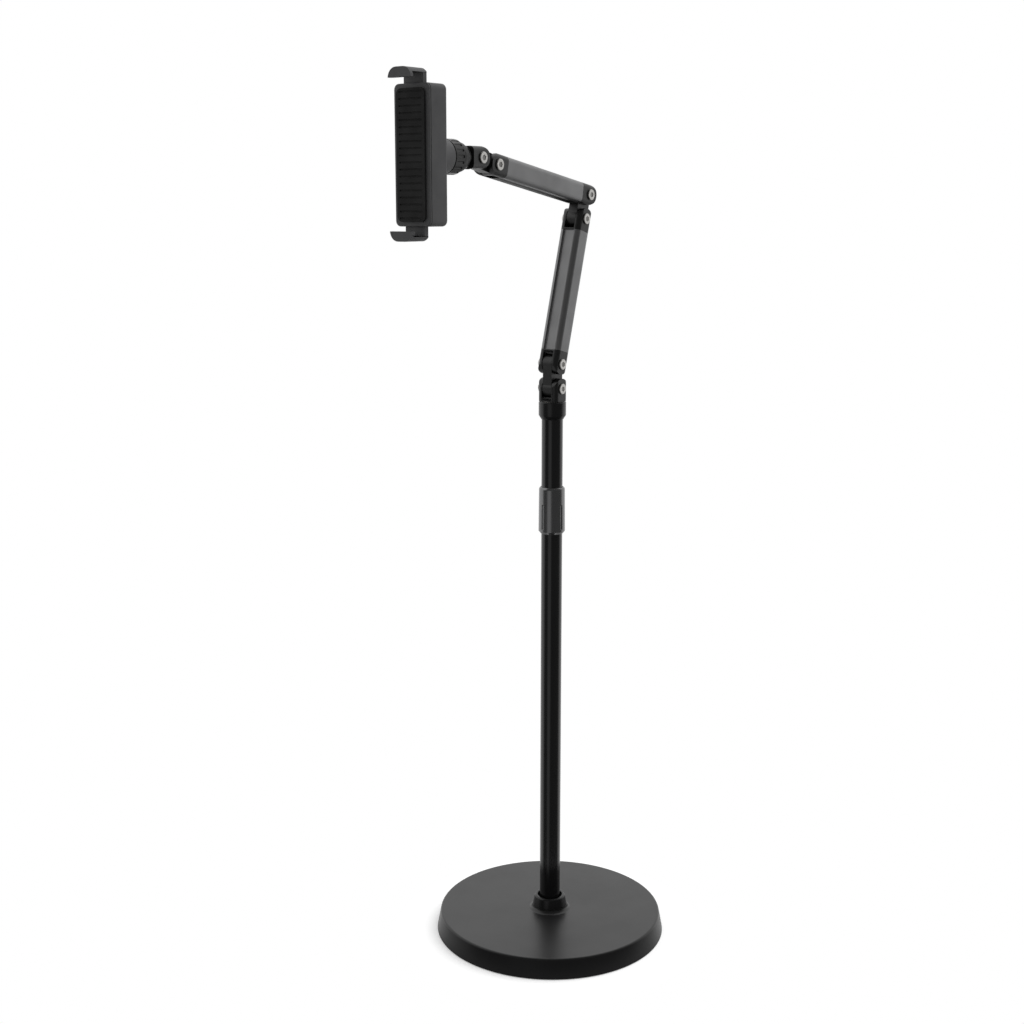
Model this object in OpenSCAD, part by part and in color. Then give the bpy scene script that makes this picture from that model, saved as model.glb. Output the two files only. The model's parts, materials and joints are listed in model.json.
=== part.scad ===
// Adjustable floor stand for a tablet: weighted base, telescopic pole, folding arm and sprung holder.
// Millimetres, +Z up. The origin is the middle of the base's underside, and the holder faces -Y.

/* [Base] */
// Diameter of the base at the floor
base_d = 236; // [205:1:320]
// Height of the base at its rim
base_h = 20.5; // [18:0.5:32]
// How far the base's side leans in on its way up
base_lean_in = 3.5; // [1:0.5:10]
// Thickness of the pressed cover
cover_t = 2; // [1:0.1:3]
// Radius of the cover's top edge
cover_edge_r = 2; // [0.5:0.1:3]
// Thickness of the non-slip pad
pad_t = 2; // [1.2:0.1:3]
// How far the pad stands out below the cover
pad_proud = 0.8; // [0.3:0.1:1]
// Diameter of the raised boss in the middle of the cover
boss_d = 36; // [34:0.5:50]
// Height of the boss, and the radius of the fillet round it
boss_h = 4; // [2:0.1:8]

/* [Hub] */
// Diameter of the hub collar at its top
hub_d = 31.4; // [28:0.1:33]
// Height of the hub collar
hub_h = 10.5; // [9:0.5:40]
// Thickness of the hub's floor under the pole
hub_floor_t = 2; // [1:0.1:5]
// Depth of the open recess round the pole
hub_recess_h = 6; // [2:0.5:7]
// Width of the open recess round the pole
hub_recess_w = 2.2; // [1:0.1:3]
// Diameter of the bolt that clamps the hub
hub_bolt_d = 10; // [6:0.5:12]
// Width across the flats of the clamping bolt's head
hub_bolt_af = 17; // [15:0.5:22]
// Height of the clamping bolt's head
hub_bolt_head_h = 6.4; // [4:0.1:7]
// Thickness of the clamping bolt's washer
hub_washer_t = 2; // [1:0.1:3]
// Height of the threaded plug in the pole's foot
foot_plug_h = 20; // [12:1:40]

/* [Pole] */
// Outer diameter of the lower and the upper tube
pole_d = 21; // [19:0.5:26]
// Wall of the lower and the upper tube
pole_wall = 1.2; // [0.8:0.1:1.6]
// Length of the lower tube
lower_tube_len = 417.5; // [370:0.5:700]
// Length of the upper tube
upper_tube_len = 90; // [70:1:200]
// Wall of the bushes between the tubes
bush_t = 1.3; // [0.8:0.1:1.6]
// Wall of the inner tube
inner_wall = 1.2; // [0.8:0.1:2]
// How far the mast slides up
height_travel = 250; // [100:5:290]

/* [Twist lock] */
// Length of the twist-lock sleeve
sleeve_len = 47; // [44:1:60]
// Wall of the sleeve at its top
sleeve_wall = 2.4; // [2:0.1:5]
// How much wider the sleeve's foot is, on the radius
sleeve_flare = 0.35; // [0:0.05:1]
// How far the sleeve reaches down over the lower tube
sleeve_grip_len = 21; // [18:1:26]
// Number of grip flutes on the sleeve
flute_count = 4; // [3:1:16]
// Turn of the first flute round the sleeve
flute_turn = -7; // [-45:1:45]
// Depth of the grip flutes
flute_depth = 0.6; // [0.2:0.1:1]
// Height of the collet's fingers
collet_finger_h = 12; // [8:1:14]

/* [Mast head] */
// Wall of the cap at the top of the pole
cap_wall = 3; // [2:0.1:6]
// How far the cap reaches down over the upper tube
cap_skirt_len = 12.5; // [8:0.5:25]
// Thickness of the cap's top plate
cap_plate_t = 5; // [3:0.5:8]
// Diameter of the pin that the fork swivels on
pan_pin_d = 10; // [7:0.5:12]

/* [Arm] */
// Distance between the pivots of an arm
arm_pitch = 144; // [110:1:240]
// Distance between the pivots of a link
link_pitch = 24; // [22:0.5:40]
// Width of an arm along its pivots
arm_w = 23; // [20:0.5:32]
// Depth of an arm across its pivots
arm_depth = 20; // [18:0.5:21]
// Radius of an arm's long edges
arm_edge_r = 4.8; // [1:0.1:5]
// Width of the grooves along an arm
groove_w = 12.6; // [7:0.1:13]
// Depth of the grooves along an arm
groove_h = 2; // [1:0.5:5]
// Radius in the bottom of the grooves
groove_r = 1.5; // [0.5:0.5:3]
// Wall of an arm's extrusion round its core
arm_wall = 1.6; // [1:0.1:2.5]

/* [Knuckles] */
// Thickness of a fork's ear
ear_t = 5.6; // [4:0.1:6]
// Room between a link's eye and the floor of the fork's slot
slot_room = 1.7; // [0.5:0.1:3]
// Thickness of a fork's root between its slot and the arm
root_h = 1.2; // [0.8:0.1:6]
// Length of a fork's tongue inside the arm
tongue_len = 20; // [16:1:40]
// Width of a link at its waist
link_waist = 17.5; // [8:0.5:18]
// Diameter of the pivot bolts
pin_d = 6; // [4:0.5:8]
// Diameter of the pivot bolts' heads
bolt_head_d = 10.6; // [10:0.2:14]
// Height of the pivot bolts' heads
bolt_head_h = 1.4; // [1.4:0.1:4]
// Radius of the edge of the pivot bolts' heads
bolt_edge_r = 0.9; // [0.2:0.1:1.2]
// Width across the flats of the pivot bolts' sockets
socket_af = 4.5; // [3:0.5:5]
// Width across the flats of the lock nuts
nut_af = 10; // [9.5:0.5:13]
// Height of the lock nuts
nut_h = 5; // [3.5:0.5:6]
// Depth of the lock nuts' pockets in the ears
nut_pocket_h = 2.4; // [1:0.1:2.8]
// Thickness of the friction washers beside the links
washer_t = 0.5; // [0.3:0.1:1]

/* [Pose] */
// Lean of the lower arm from upright, towards the holder
lower_lean = -15.3; // [-40:0.1:20]
// Lean of the elbow link
elbow_lean = -17; // [-40:0.1:20]
// Lean of the upper arm
upper_lean = 79.7; // [60:0.1:80]
// Lean of the wrist link
wrist_lean = 76.5; // [60:0.1:100]
// Lean of the holder's axis, with 90 facing straight out
holder_lean = 90; // [60:0.1:110]

/* [Holder] */
// Distance between the jaws' pads when closed
grip_h = 134; // [125:1:170]
// Depth of the slot that takes the device
slot_depth = 8.5; // [6:0.5:16]
// How far each jaw opens
jaw_travel = 40; // [20:1:40]
// Width of a jaw
jaw_w = 26; // [23:0.5:34]
// Thickness of a jaw's shelf, without its pad
jaw_t = 4; // [3:0.1:6]
// Thickness of a jaw's lip
lip_t = 3.5; // [3:0.1:6]
// How far a jaw's lip reaches over the device
lip_h = 3.6; // [2:0.1:8]
// Radius of a jaw's outer corners
jaw_corner_r = 9; // [1:0.5:9]
// Thickness of the pads in the jaws
jaw_pad_t = 1; // [0.5:0.1:2]
// Width of a jaw's stem
stem_w = 22; // [16:0.5:22.5]
// Thickness of a jaw's stem
stem_t = 4.5; // [3:0.1:6]
// Width of the holder's housing
housing_w = 40; // [38:0.5:60]
// Depth of the housing's back shell
housing_depth = 21; // [20:0.5:32]
// Radius of the housing's corners
housing_r = 5; // [2:0.5:6]
// Thickness of the housing's front cover
front_t = 2.5; // [2:0.1:4]
// Thickness of the housing's front pad
front_pad_t = 2; // [1:0.1:3]
// How far the front pad stays inside the housing's edge
front_pad_margin = 4; // [2:0.5:8]
// How far each jaw's shelf stands off the housing
jaw_reveal = 7.5; // [4:0.5:12]
// Diameter of the guide rod
rod_d = 4; // [3:0.5:5]
// Diameter of the springs' wire
spring_wire_d = 0.7; // [0.5:0.1:0.8]
// Number of turns in each spring
spring_turns = 8; // [5:1:8]

/* [Yoke] */
// Length of the neck between the yoke's fork and its flange
yoke_neck_len = 7.5; // [4:0.5:20]
// Diameter of the yoke's flange
yoke_flange_d = 26; // [24:0.5:34]
// Thickness of the yoke's flange
yoke_flange_t = 6; // [3:0.5:10]
// Diameter of the stem that the holder turns on
turn_pin_d = 14; // [10:0.5:15]
// Wall of the boss that the stem turns in
turn_boss_wall = 5; // [3:0.1:8]
// Length of the clamp ring
ring_len = 14; // [8:0.5:20]
// Wall of the clamp ring
ring_wall = 3.4; // [2.5:0.1:6]
// Number of grip flutes on the clamp ring
ring_flute_count = 18; // [8:1:24]
// Length of the boss's cone between ring and housing
boss_cone_len = 16; // [6:0.5:30]

/* [Fits] */
// Radial clearance of pieces pressed or screwed together
seat_gap = 0.03; // [0.01:0.01:0.06]
// Radial clearance of pieces that turn or slide on each other
run_gap = 0.06; // [0.03:0.01:0.1]
// Clearance between flat faces that move past each other
face_gap = 0.05; // [0.02:0.01:0.2]
// Clearance round parts that pass each other freely
free_gap = 0.3; // [0.2:0.05:0.6]

/* [Hidden] */
$fn = 64;
eps = 0.01;
// How far a cutting shape runs past what it cuts
cut = 1;
// Bevel on turned edges
bevel = 1;
corner_steps = 6;

// Base and hub
base_r = base_d / 2;
base_top_r = base_r - base_lean_in;
weight_gap = 1;
hub_hole_r = hub_bolt_d / 2 + free_gap;
hub_washer_margin = 2;
hub_washer_r = hub_bolt_af / 2 / cos(30) + hub_washer_margin;
hub_bolt_room = 1;
hub_bolt_short = 3;
hub_foot_inset = 0.4;
weight_seat_z = pad_t + hub_bolt_room + hub_bolt_head_h + hub_washer_t;
boss_z = base_h + boss_h;
tube_z = boss_z + hub_floor_t;

// Pole and twist lock
pole_r = pole_d / 2;
bore_r = pole_r - pole_wall;
inner_r = bore_r - bush_t;
lower_top_z = tube_z + lower_tube_len;
collet_flange_h = 2;
collet_spigot_len = 14;
collet_inset = 0.6;
collet_taper = 0.6;
collet_slit_w = 1.2;
collet_root_h = 2;
collet_room = 2;
upper_z = lower_top_z + collet_flange_h + collet_finger_h + collet_room;
upper_top_z = upper_z + upper_tube_len;
sleeve_z = lower_top_z - sleeve_grip_len;
sleeve_r = pole_r + sleeve_wall;
sleeve_chamfer = 2.4;
sleeve_rim = 0.8;
sleeve_edge_drop = 0.4;
flute_r = 2.2;
flute_margin = 2;
flute_share = 0.55;
glide_len = 15;
stop_room = 15;
inner_z = lower_top_z - collet_spigot_len - height_travel - glide_len - stop_room;
bush_len = 10;

// Mast head
cap_r = pole_r + cap_wall;
cap_chamfer = cap_wall + pole_wall;
cap_lip = 0.4;
cap_bevel = 0.6;
cap_top_z = upper_top_z + cap_plate_t;
pan_washer_t = 0.5;
face_washer_inset = 0.5;
retainer_t = 1.2;
retainer_r = bore_r - 2 * free_gap;
pan_screw_d = 5;
pan_screw_head_d = 9;
pan_screw_head_h = 3.6;
pan_screw_len = 6;
pan_screw_room = 4;
inner_top_z = upper_top_z - retainer_t - pan_screw_head_h - pan_screw_room;

// Knuckles
knuckle_r = arm_depth / 2;
eye_relief = 0.4;
eye_r = knuckle_r - eye_relief;
slot_floor = eye_r + slot_room;
fork_reach = slot_floor + root_h;
slot_w = arm_w - 2 * ear_t;
link_t = slot_w - 2 * washer_t - 4 * face_gap;
core_w = arm_w - 2 * arm_wall;
core_t = arm_depth - 2 * groove_h - 2 * arm_wall;
set_screw_d = 4;
set_screw_head_d = 7;
set_screw_head_h = 2;
nut_collar_h = 1;
nut_collar_share = 0.86;
socket_floor_share = 0.3;
pivot_washer_inset = 1;

// Pivots along the arm, each with y towards the back
function pivot(from, lean, length) = from + length * [0, -sin(lean), cos(lean)];
p1 = [0, 0, cap_top_z + pan_washer_t + face_gap + fork_reach];
p2 = pivot(p1, 0, link_pitch);
p3 = pivot(p2, lower_lean, arm_pitch);
p4 = pivot(p3, elbow_lean, link_pitch);
p5 = pivot(p4, upper_lean, arm_pitch);
p6 = pivot(p5, wrist_lean, link_pitch);

// Yoke and holder, measured along the holder's axis from its pivot
flange_z = fork_reach + yoke_neck_len;
turn_face_z = flange_z + yoke_flange_t;
turn_washer_t = 0.9;
turn_boss_z = turn_face_z + turn_washer_t + 2 * face_gap;
turn_boss_r = turn_pin_d / 2 + turn_boss_wall;
ring_z = turn_boss_z + free_gap;
cone_z = ring_z + ring_len + free_gap;
housing_z = cone_z + boss_cone_len;
back_wall_t = 3;
cone_inset = 2;
front_z = housing_z + housing_depth;
pad_z = front_z + front_t;
slot_z = pad_z + front_pad_t;
lip_z = slot_z + slot_depth + jaw_pad_t;
jaw_front_z = lip_z + lip_t;
stem_z = front_z - free_gap - stem_t;
jaw_pad_inset = 2;
housing_h = grip_h - 2 * jaw_reveal;
end_wall_t = 4;
rib_half = 4;
tab_room = 1;
tab_y = rib_half + tab_room;
tab_t = 4.5;
tab_w = 10;
rod_drop = 3.2;
rod_z = stem_z - rod_d / 2 - rod_drop;
rod_end_gap = 1;
rod_len = housing_h - 2 * rod_end_gap;
tab_wall = 1;
tab_z = rod_z - rod_d / 2 - tab_wall;
spring_y = tab_y + tab_t;
spring_end_y = housing_h / 2 - end_wall_t;
spring_rod_gap = 0.4;
spring_r = rod_d / 2 + spring_rod_gap + spring_wire_d / 2;
spring_side_room = 2.5;
cavity_w = 2 * spring_r + spring_wire_d + 2 * spring_side_room;
turn_retainer_t = 1.5;
turn_retainer_lap = 1;
turn_retainer_r = turn_pin_d / 2 + turn_retainer_lap;
turn_screw_d = 5;
turn_screw_head_d = 9;
turn_screw_head_h = 2.6;
turn_screw_len = 10;
case_screw_d = 3;
case_screw_head_d = 5.4;
case_screw_head_h = 2;
case_screw_sunk = 0.6;
case_screw_short = 1;
case_screw_inset = 9;
case_boss_d = 6;
case_boss_len = 6;
case_screw_x = stem_w / 4 + free_gap / 2 + housing_w / 4;
case_screw_y = housing_h / 2 - case_screw_inset;

// Colours
c_base = [0.38, 0.38, 0.39];
c_black = [0.09, 0.09, 0.1];
c_tube = [0.11, 0.11, 0.12];
c_grip = [0.2, 0.2, 0.21];
c_arm = [0.46, 0.46, 0.47];
c_fork = [0.16, 0.16, 0.16];
c_steel = [0.8, 0.8, 0.8];
c_iron = [0.3, 0.3, 0.3];
c_rubber = [0.06, 0.06, 0.06];
c_nylon = [0.75, 0.74, 0.7];

// Points on an arc from angle a0 to a1
function arc(centre, r, a0, a1, steps) =
    [for (i = [0:steps]) centre + r * [cos(a0 + (a1 - a0) * i / steps), sin(a0 + (a1 - a0) * i / steps)]];

// Corners of a rectangle, centred, with rounded corners
function round_rect(w, d, r) = [
    each arc([w / 2 - r, d / 2 - r], r, 0, 90, corner_steps),
    each arc([-w / 2 + r, d / 2 - r], r, 90, 180, corner_steps),
    each arc([-w / 2 + r, -d / 2 + r], r, 180, 270, corner_steps),
    each arc([w / 2 - r, -d / 2 + r], r, 270, 360, corner_steps)
];

// Radius of the base's outside at a height
function base_side_r(z) = base_r - base_lean_in * (z - pad_proud) / (base_h - pad_proud);

module at_pivot(p, lean) {
    translate(p) rotate([lean, 0, 0]) children();
}

module tube(r, bore, h) {
    difference() {
        cylinder(r = r, h = h);
        translate([0, 0, -cut]) cylinder(r = bore, h = h + 2 * cut);
    }
}

module hex(af, h) {
    cylinder(d = af / cos(30), h = h, $fn = 6);
}

// A lathe-turned body from points of radius and height
module turned(points) {
    rotate_extrude() polygon(points);
}

// Pan-head screw along Z: head above the origin, shank below it
module screw(d, head_d, head_h, length) {
    crown_h = head_h * 0.4;
    socket_z = head_h * 0.45;
    drive_af = head_d * 0.4;
    difference() {
        union() {
            turned([
                [0, 0],
                [head_d / 2, 0],
                [head_d / 2, head_h - crown_h],
                [head_d / 2 - crown_h, head_h],
                [0, head_h]
            ]);
            translate([0, 0, -length]) cylinder(d = d, h = length + eps);
        }
        translate([0, 0, socket_z]) hex(drive_af, head_h);
    }
}

// Base

module base_pad() {
    color(c_rubber) cylinder(r = base_side_r(pad_t) - cover_t - weight_gap, h = pad_t);
}

module counterweight() {
    top_z = base_h - cover_t;
    color(c_iron) difference() {
        translate([0, 0, pad_t]) cylinder(
            r1 = base_side_r(pad_t) - cover_t - weight_gap,
            r2 = base_side_r(top_z) - cover_t - weight_gap,
            h = top_z - pad_t);
        translate([0, 0, pad_t - cut]) cylinder(r = hub_washer_r + free_gap, h = weight_seat_z - pad_t + cut);
        cylinder(r = hub_hole_r, h = base_h);
    }
}

module base_cover() {
    boss_r = boss_d / 2;
    color(c_base) turned([
        [hub_hole_r, base_h - cover_t],
        [base_side_r(base_h - cover_t) - cover_t, base_h - cover_t],
        [base_r - cover_t, pad_proud],
        [base_r, pad_proud],
        each arc([base_top_r - cover_edge_r, base_h - cover_edge_r], cover_edge_r, 10, 90, corner_steps),
        each arc([boss_r + boss_h, base_h + boss_h], boss_h, 270, 180, corner_steps * 2),
        [hub_hole_r, boss_z]
    ]);
}

module base_hub() {
    foot_r = boss_d / 2 - hub_foot_inset;
    top_r = hub_d / 2;
    rim_r = pole_r + hub_recess_w;
    color(c_black) turned([
        [hub_hole_r, boss_z],
        [foot_r, boss_z],
        [top_r, boss_z + hub_h - bevel],
        [top_r - bevel, boss_z + hub_h],
        [rim_r, boss_z + hub_h],
        [rim_r, boss_z + hub_h - hub_recess_h],
        [pole_r + seat_gap, boss_z + hub_h - hub_recess_h],
        [pole_r + seat_gap, tube_z],
        [hub_hole_r, tube_z]
    ]);
}

module hub_bolt() {
    head_z = weight_seat_z - hub_washer_t - hub_bolt_head_h;
    shank_z = head_z + hub_bolt_head_h / 2;
    end_z = tube_z + foot_plug_h - hub_bolt_short;
    color(c_steel) union() {
        translate([0, 0, head_z]) hex(hub_bolt_af, hub_bolt_head_h);
        translate([0, 0, shank_z]) cylinder(d = hub_bolt_d, h = end_z - shank_z);
    }
}

module hub_washer() {
    color(c_steel) translate([0, 0, weight_seat_z - hub_washer_t])
        tube(hub_washer_r, hub_bolt_d / 2 + seat_gap, hub_washer_t);
}

module foot_plug() {
    color(c_steel) translate([0, 0, tube_z]) tube(bore_r - seat_gap, hub_bolt_d / 2 + seat_gap, foot_plug_h);
}

// Pole

module lower_tube() {
    color(c_tube) translate([0, 0, tube_z]) tube(pole_r, bore_r, lower_tube_len);
}

module lock_collet() {
    finger_z = lower_top_z + collet_flange_h;
    finger_r = pole_r - collet_inset;
    collet_len = collet_spigot_len + collet_flange_h + collet_finger_h;
    color(c_nylon) difference() {
        union() {
            translate([0, 0, lower_top_z - collet_spigot_len])
                cylinder(r = bore_r - seat_gap, h = collet_spigot_len + eps);
            translate([0, 0, lower_top_z]) cylinder(r = pole_r, h = collet_flange_h + eps);
            translate([0, 0, finger_z])
                cylinder(r1 = finger_r, r2 = finger_r - collet_taper, h = collet_finger_h);
        }
        translate([0, 0, lower_top_z - collet_spigot_len - cut])
            cylinder(r = inner_r + run_gap, h = collet_len + 2 * cut);
        for (turn = [0, 90]) rotate([0, 0, turn])
            translate([-collet_slit_w / 2, -pole_r, finger_z + collet_root_h])
                cube([collet_slit_w, pole_d, collet_finger_h]);
    }
}

module lock_sleeve() {
    top_z = sleeve_z + sleeve_len;
    finger_z = lower_top_z + collet_flange_h;
    flute_z = sleeve_z + sleeve_chamfer + flute_margin;
    flute_len = sleeve_len * flute_share;
    squeeze_r = pole_r - collet_inset / 2;
    squeeze_top_z = finger_z + collet_finger_h + collet_room / 2;
    color(c_arm) difference() {
        turned([
            [pole_r + run_gap, sleeve_z],
            [pole_r + sleeve_rim, sleeve_z],
            [sleeve_r + sleeve_flare, sleeve_z + sleeve_chamfer],
            [sleeve_r, top_z - sleeve_chamfer],
            [sleeve_r - sleeve_edge_drop, top_z - sleeve_chamfer / 2],
            [pole_r + sleeve_rim, top_z],
            [pole_r + free_gap, top_z],
            [pole_r + free_gap, squeeze_top_z],
            [squeeze_r, squeeze_top_z],
            [squeeze_r, finger_z + face_gap],
            [pole_r + run_gap, finger_z + face_gap]
        ]);
        for (i = [0:flute_count - 1]) rotate([0, 0, flute_turn + 360 * i / flute_count])
            translate([sleeve_r + flute_r - flute_depth, 0, flute_z]) cylinder(r = flute_r, h = flute_len);
    }
}

module inner_tube() {
    color(c_steel) translate([0, 0, inner_z]) tube(inner_r, inner_r - inner_wall, inner_top_z - inner_z);
}

module glide_bush() {
    color(c_nylon) translate([0, 0, inner_z]) tube(bore_r - run_gap, inner_r + seat_gap, glide_len);
}

module tube_bushes() {
    color(c_nylon) for (z = [upper_z, inner_top_z - bush_len])
        translate([0, 0, z]) tube(bore_r - seat_gap, inner_r + seat_gap, bush_len);
}

module upper_tube() {
    color(c_tube) translate([0, 0, upper_z]) tube(pole_r, bore_r, upper_tube_len);
}

// Cap on the upper tube, with the swivel's bore in its top plate
module mast_cap() {
    skirt_z = upper_top_z - cap_skirt_len;
    color(c_black) turned([
        [pole_r + seat_gap, skirt_z],
        [pole_r + cap_lip, skirt_z],
        [cap_r, skirt_z + cap_chamfer],
        [cap_r, cap_top_z - cap_bevel],
        [cap_r - cap_bevel, cap_top_z],
        [pan_pin_d / 2 + run_gap, cap_top_z],
        [pan_pin_d / 2 + run_gap, upper_top_z],
        [pole_r + seat_gap, upper_top_z]
    ]);
}

// Arm pieces, each drawn at its own pivot with the arm running up from it

module arm_outline() {
    polygon(round_rect(arm_w, arm_depth, arm_edge_r));
}

// Fork on a pivot: two ears with the bolt's bore and the nut's pocket
module fork() {
    difference() {
        intersection() {
            translate([0, 0, -knuckle_r]) linear_extrude(knuckle_r + fork_reach) arm_outline();
            rotate([90, 0, 90]) linear_extrude(arm_w + 2 * cut, center = true) union() {
                circle(knuckle_r);
                translate([-knuckle_r, 0]) square([2 * knuckle_r, fork_reach]);
            }
        }
        translate([-slot_w / 2, -arm_depth, -arm_depth])
            cube([slot_w, 2 * arm_depth, arm_depth + slot_floor]);
        rotate([0, 90, 0]) cylinder(d = pin_d + 2 * seat_gap, h = arm_w + 2 * cut, center = true);
        translate([-arm_w / 2 - cut, 0, 0]) rotate([0, 90, 0])
            hex(nut_af + 2 * seat_gap, nut_pocket_h + cut);
    }
}

module arm_fork() {
    tongue_w = core_w - 2 * seat_gap;
    tongue_t = core_t - 2 * seat_gap;
    difference() {
        union() {
            fork();
            translate([-tongue_w / 2, -tongue_t / 2, fork_reach - eps])
                cube([tongue_w, tongue_t, tongue_len + eps]);
        }
        translate([0, arm_depth / 2, fork_reach + tongue_len / 2]) rotate([90, 0, 0])
            cylinder(d = set_screw_d + 2 * seat_gap, h = arm_depth);
    }
}

// Extrusion between two forks, with a groove front and back
module beam() {
    difference() {
        translate([0, 0, fork_reach]) linear_extrude(arm_pitch - 2 * fork_reach) difference() {
            arm_outline();
            for (side = [-1, 1]) translate([0, side * arm_depth / 2])
                polygon(round_rect(groove_w, 2 * groove_h, groove_r));
            square([core_w, core_t], center = true);
        }
        for (z = [fork_reach + tongue_len / 2, arm_pitch - fork_reach - tongue_len / 2])
            translate([0, 0, z]) rotate([-90, 0, 0]) cylinder(d = set_screw_d + 2 * seat_gap, h = arm_depth);
    }
}

// Screw in the back groove that holds a fork's tongue
module set_screw(z) {
    translate([0, core_t / 2 + arm_wall, z]) rotate([-90, 0, 0])
        screw(set_screw_d, set_screw_head_d, set_screw_head_h, core_t / 2 + arm_wall);
}

module arm_set_screws() {
    set_screw(fork_reach + tongue_len / 2);
    set_screw(arm_pitch - fork_reach - tongue_len / 2);
}

// Link with an eye at each end and a waist between them
module link() {
    rotate([90, 0, 90]) linear_extrude(link_t, center = true) difference() {
        union() {
            circle(eye_r);
            translate([0, link_pitch]) circle(eye_r);
            translate([-link_waist / 2, 0]) square([link_waist, link_pitch]);
        }
        circle(pin_d / 2 + run_gap);
        translate([0, link_pitch]) circle(pin_d / 2 + run_gap);
    }
}

// Pivot bolt with its head on +X
module pivot_bolt() {
    head_r = bolt_head_d / 2;
    shank = arm_w / 2 - nut_pocket_h + nut_h + nut_collar_h;
    difference() {
        union() {
            translate([arm_w / 2, 0, 0]) rotate([0, 90, 0]) turned([
                [0, 0],
                [head_r, 0],
                each arc([head_r - bolt_edge_r, bolt_head_h - bolt_edge_r], bolt_edge_r, 0, 90, corner_steps),
                [0, bolt_head_h]
            ]);
            translate([-shank, 0, 0]) rotate([0, 90, 0]) cylinder(d = pin_d, h = shank + arm_w / 2 + eps);
        }
        translate([arm_w / 2 + bolt_head_h * socket_floor_share, 0, 0]) rotate([0, 90, 0])
            hex(socket_af, bolt_head_h);
    }
}

module pivot_nut() {
    translate([-arm_w / 2 + nut_pocket_h, 0, 0]) rotate([0, -90, 0]) difference() {
        union() {
            hex(nut_af, nut_h);
            cylinder(d = nut_af * nut_collar_share, h = nut_h + nut_collar_h);
        }
        translate([0, 0, -cut]) cylinder(d = pin_d + 2 * seat_gap, h = nut_h + nut_collar_h + 2 * cut);
    }
}

module pivot_washers() {
    for (side = [0, 180]) rotate([0, 0, side])
        translate([slot_w / 2 - face_gap - washer_t, 0, 0]) rotate([0, 90, 0])
            tube(eye_r - pivot_washer_inset, pin_d / 2 + run_gap, washer_t);
}

// Swivel on the mast

module swivel_fork() {
    root_z = p1[2] - fork_reach;
    color(c_fork) difference() {
        union() {
            at_pivot(p1, 180) fork();
            translate([0, 0, upper_top_z - face_gap])
                cylinder(d = pan_pin_d, h = root_z - upper_top_z + face_gap + eps);
        }
        translate([0, 0, upper_top_z - cut])
            cylinder(d = pan_screw_d + 2 * seat_gap, h = pan_screw_len + cut);
    }
}

module pan_washer() {
    color(c_nylon) translate([0, 0, cap_top_z + face_gap])
        tube(knuckle_r - face_washer_inset, pan_pin_d / 2 + seat_gap, pan_washer_t);
}

module pan_retainer() {
    color(c_steel) translate([0, 0, upper_top_z - face_gap - retainer_t])
        tube(retainer_r, pan_screw_d / 2 + seat_gap, retainer_t);
}

module pan_screw() {
    color(c_steel) translate([0, 0, upper_top_z - face_gap - retainer_t]) rotate([180, 0, 0])
        screw(pan_screw_d, pan_screw_head_d, pan_screw_head_h, pan_screw_len);
}

module swivel_bolt() {
    color(c_steel) at_pivot(p1, 0) pivot_bolt();
}

module swivel_nut() {
    color(c_steel) at_pivot(p1, 0) pivot_nut();
}

module swivel_washers() {
    color(c_nylon) at_pivot(p1, 0) pivot_washers();
}

module shoulder_link() {
    color(c_fork) at_pivot(p1, 0) link();
}

// Lower arm

module lower_beam() {
    color(c_arm) at_pivot(p2, lower_lean) beam();
}

module lower_foot_fork() {
    color(c_fork) at_pivot(p2, lower_lean) arm_fork();
}

module lower_head_fork() {
    color(c_fork) at_pivot(p3, lower_lean) mirror([0, 0, 1]) arm_fork();
}

module lower_bolts() {
    color(c_steel) for (p = [p2, p3]) at_pivot(p, lower_lean) pivot_bolt();
}

module lower_nuts() {
    color(c_steel) for (p = [p2, p3]) at_pivot(p, lower_lean) pivot_nut();
}

module lower_washers() {
    color(c_nylon) for (p = [p2, p3]) at_pivot(p, lower_lean) pivot_washers();
}

module lower_set_screws() {
    color(c_steel) at_pivot(p2, lower_lean) arm_set_screws();
}

module elbow_link() {
    color(c_fork) at_pivot(p3, elbow_lean) link();
}

// Upper arm

module upper_beam() {
    color(c_arm) at_pivot(p4, upper_lean) beam();
}

module upper_elbow_fork() {
    color(c_fork) at_pivot(p4, upper_lean) arm_fork();
}

module upper_wrist_fork() {
    color(c_fork) at_pivot(p5, upper_lean) mirror([0, 0, 1]) arm_fork();
}

module upper_bolts() {
    color(c_steel) for (p = [p4, p5]) at_pivot(p, upper_lean) pivot_bolt();
}

module upper_nuts() {
    color(c_steel) for (p = [p4, p5]) at_pivot(p, upper_lean) pivot_nut();
}

module upper_washers() {
    color(c_nylon) for (p = [p4, p5]) at_pivot(p, upper_lean) pivot_washers();
}

module upper_set_screws() {
    color(c_steel) at_pivot(p4, upper_lean) arm_set_screws();
}

module wrist_link() {
    color(c_fork) at_pivot(p5, wrist_lean) link();
}

// Yoke: fork, neck, flange and the stem that the holder turns on

module yoke() {
    stem_end_z = housing_z + back_wall_t + face_gap;
    color(c_fork) at_pivot(p6, holder_lean) difference() {
        union() {
            fork();
            translate([0, 0, fork_reach - eps])
                cylinder(d1 = arm_depth - bevel, d2 = yoke_flange_d - 2 * bevel, h = yoke_neck_len + 2 * eps);
            translate([0, 0, flange_z]) turned([
                [0, 0],
                [yoke_flange_d / 2 - bevel, 0],
                [yoke_flange_d / 2, bevel],
                [yoke_flange_d / 2, yoke_flange_t - bevel],
                [yoke_flange_d / 2 - bevel, yoke_flange_t],
                [0, yoke_flange_t]
            ]);
            translate([0, 0, turn_face_z - eps]) cylinder(d = turn_pin_d, h = stem_end_z - turn_face_z + eps);
        }
        translate([0, 0, stem_end_z - turn_screw_len])
            cylinder(d = turn_screw_d + 2 * seat_gap, h = turn_screw_len + cut);
    }
}

module yoke_bolt() {
    color(c_steel) at_pivot(p6, holder_lean) pivot_bolt();
}

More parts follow.
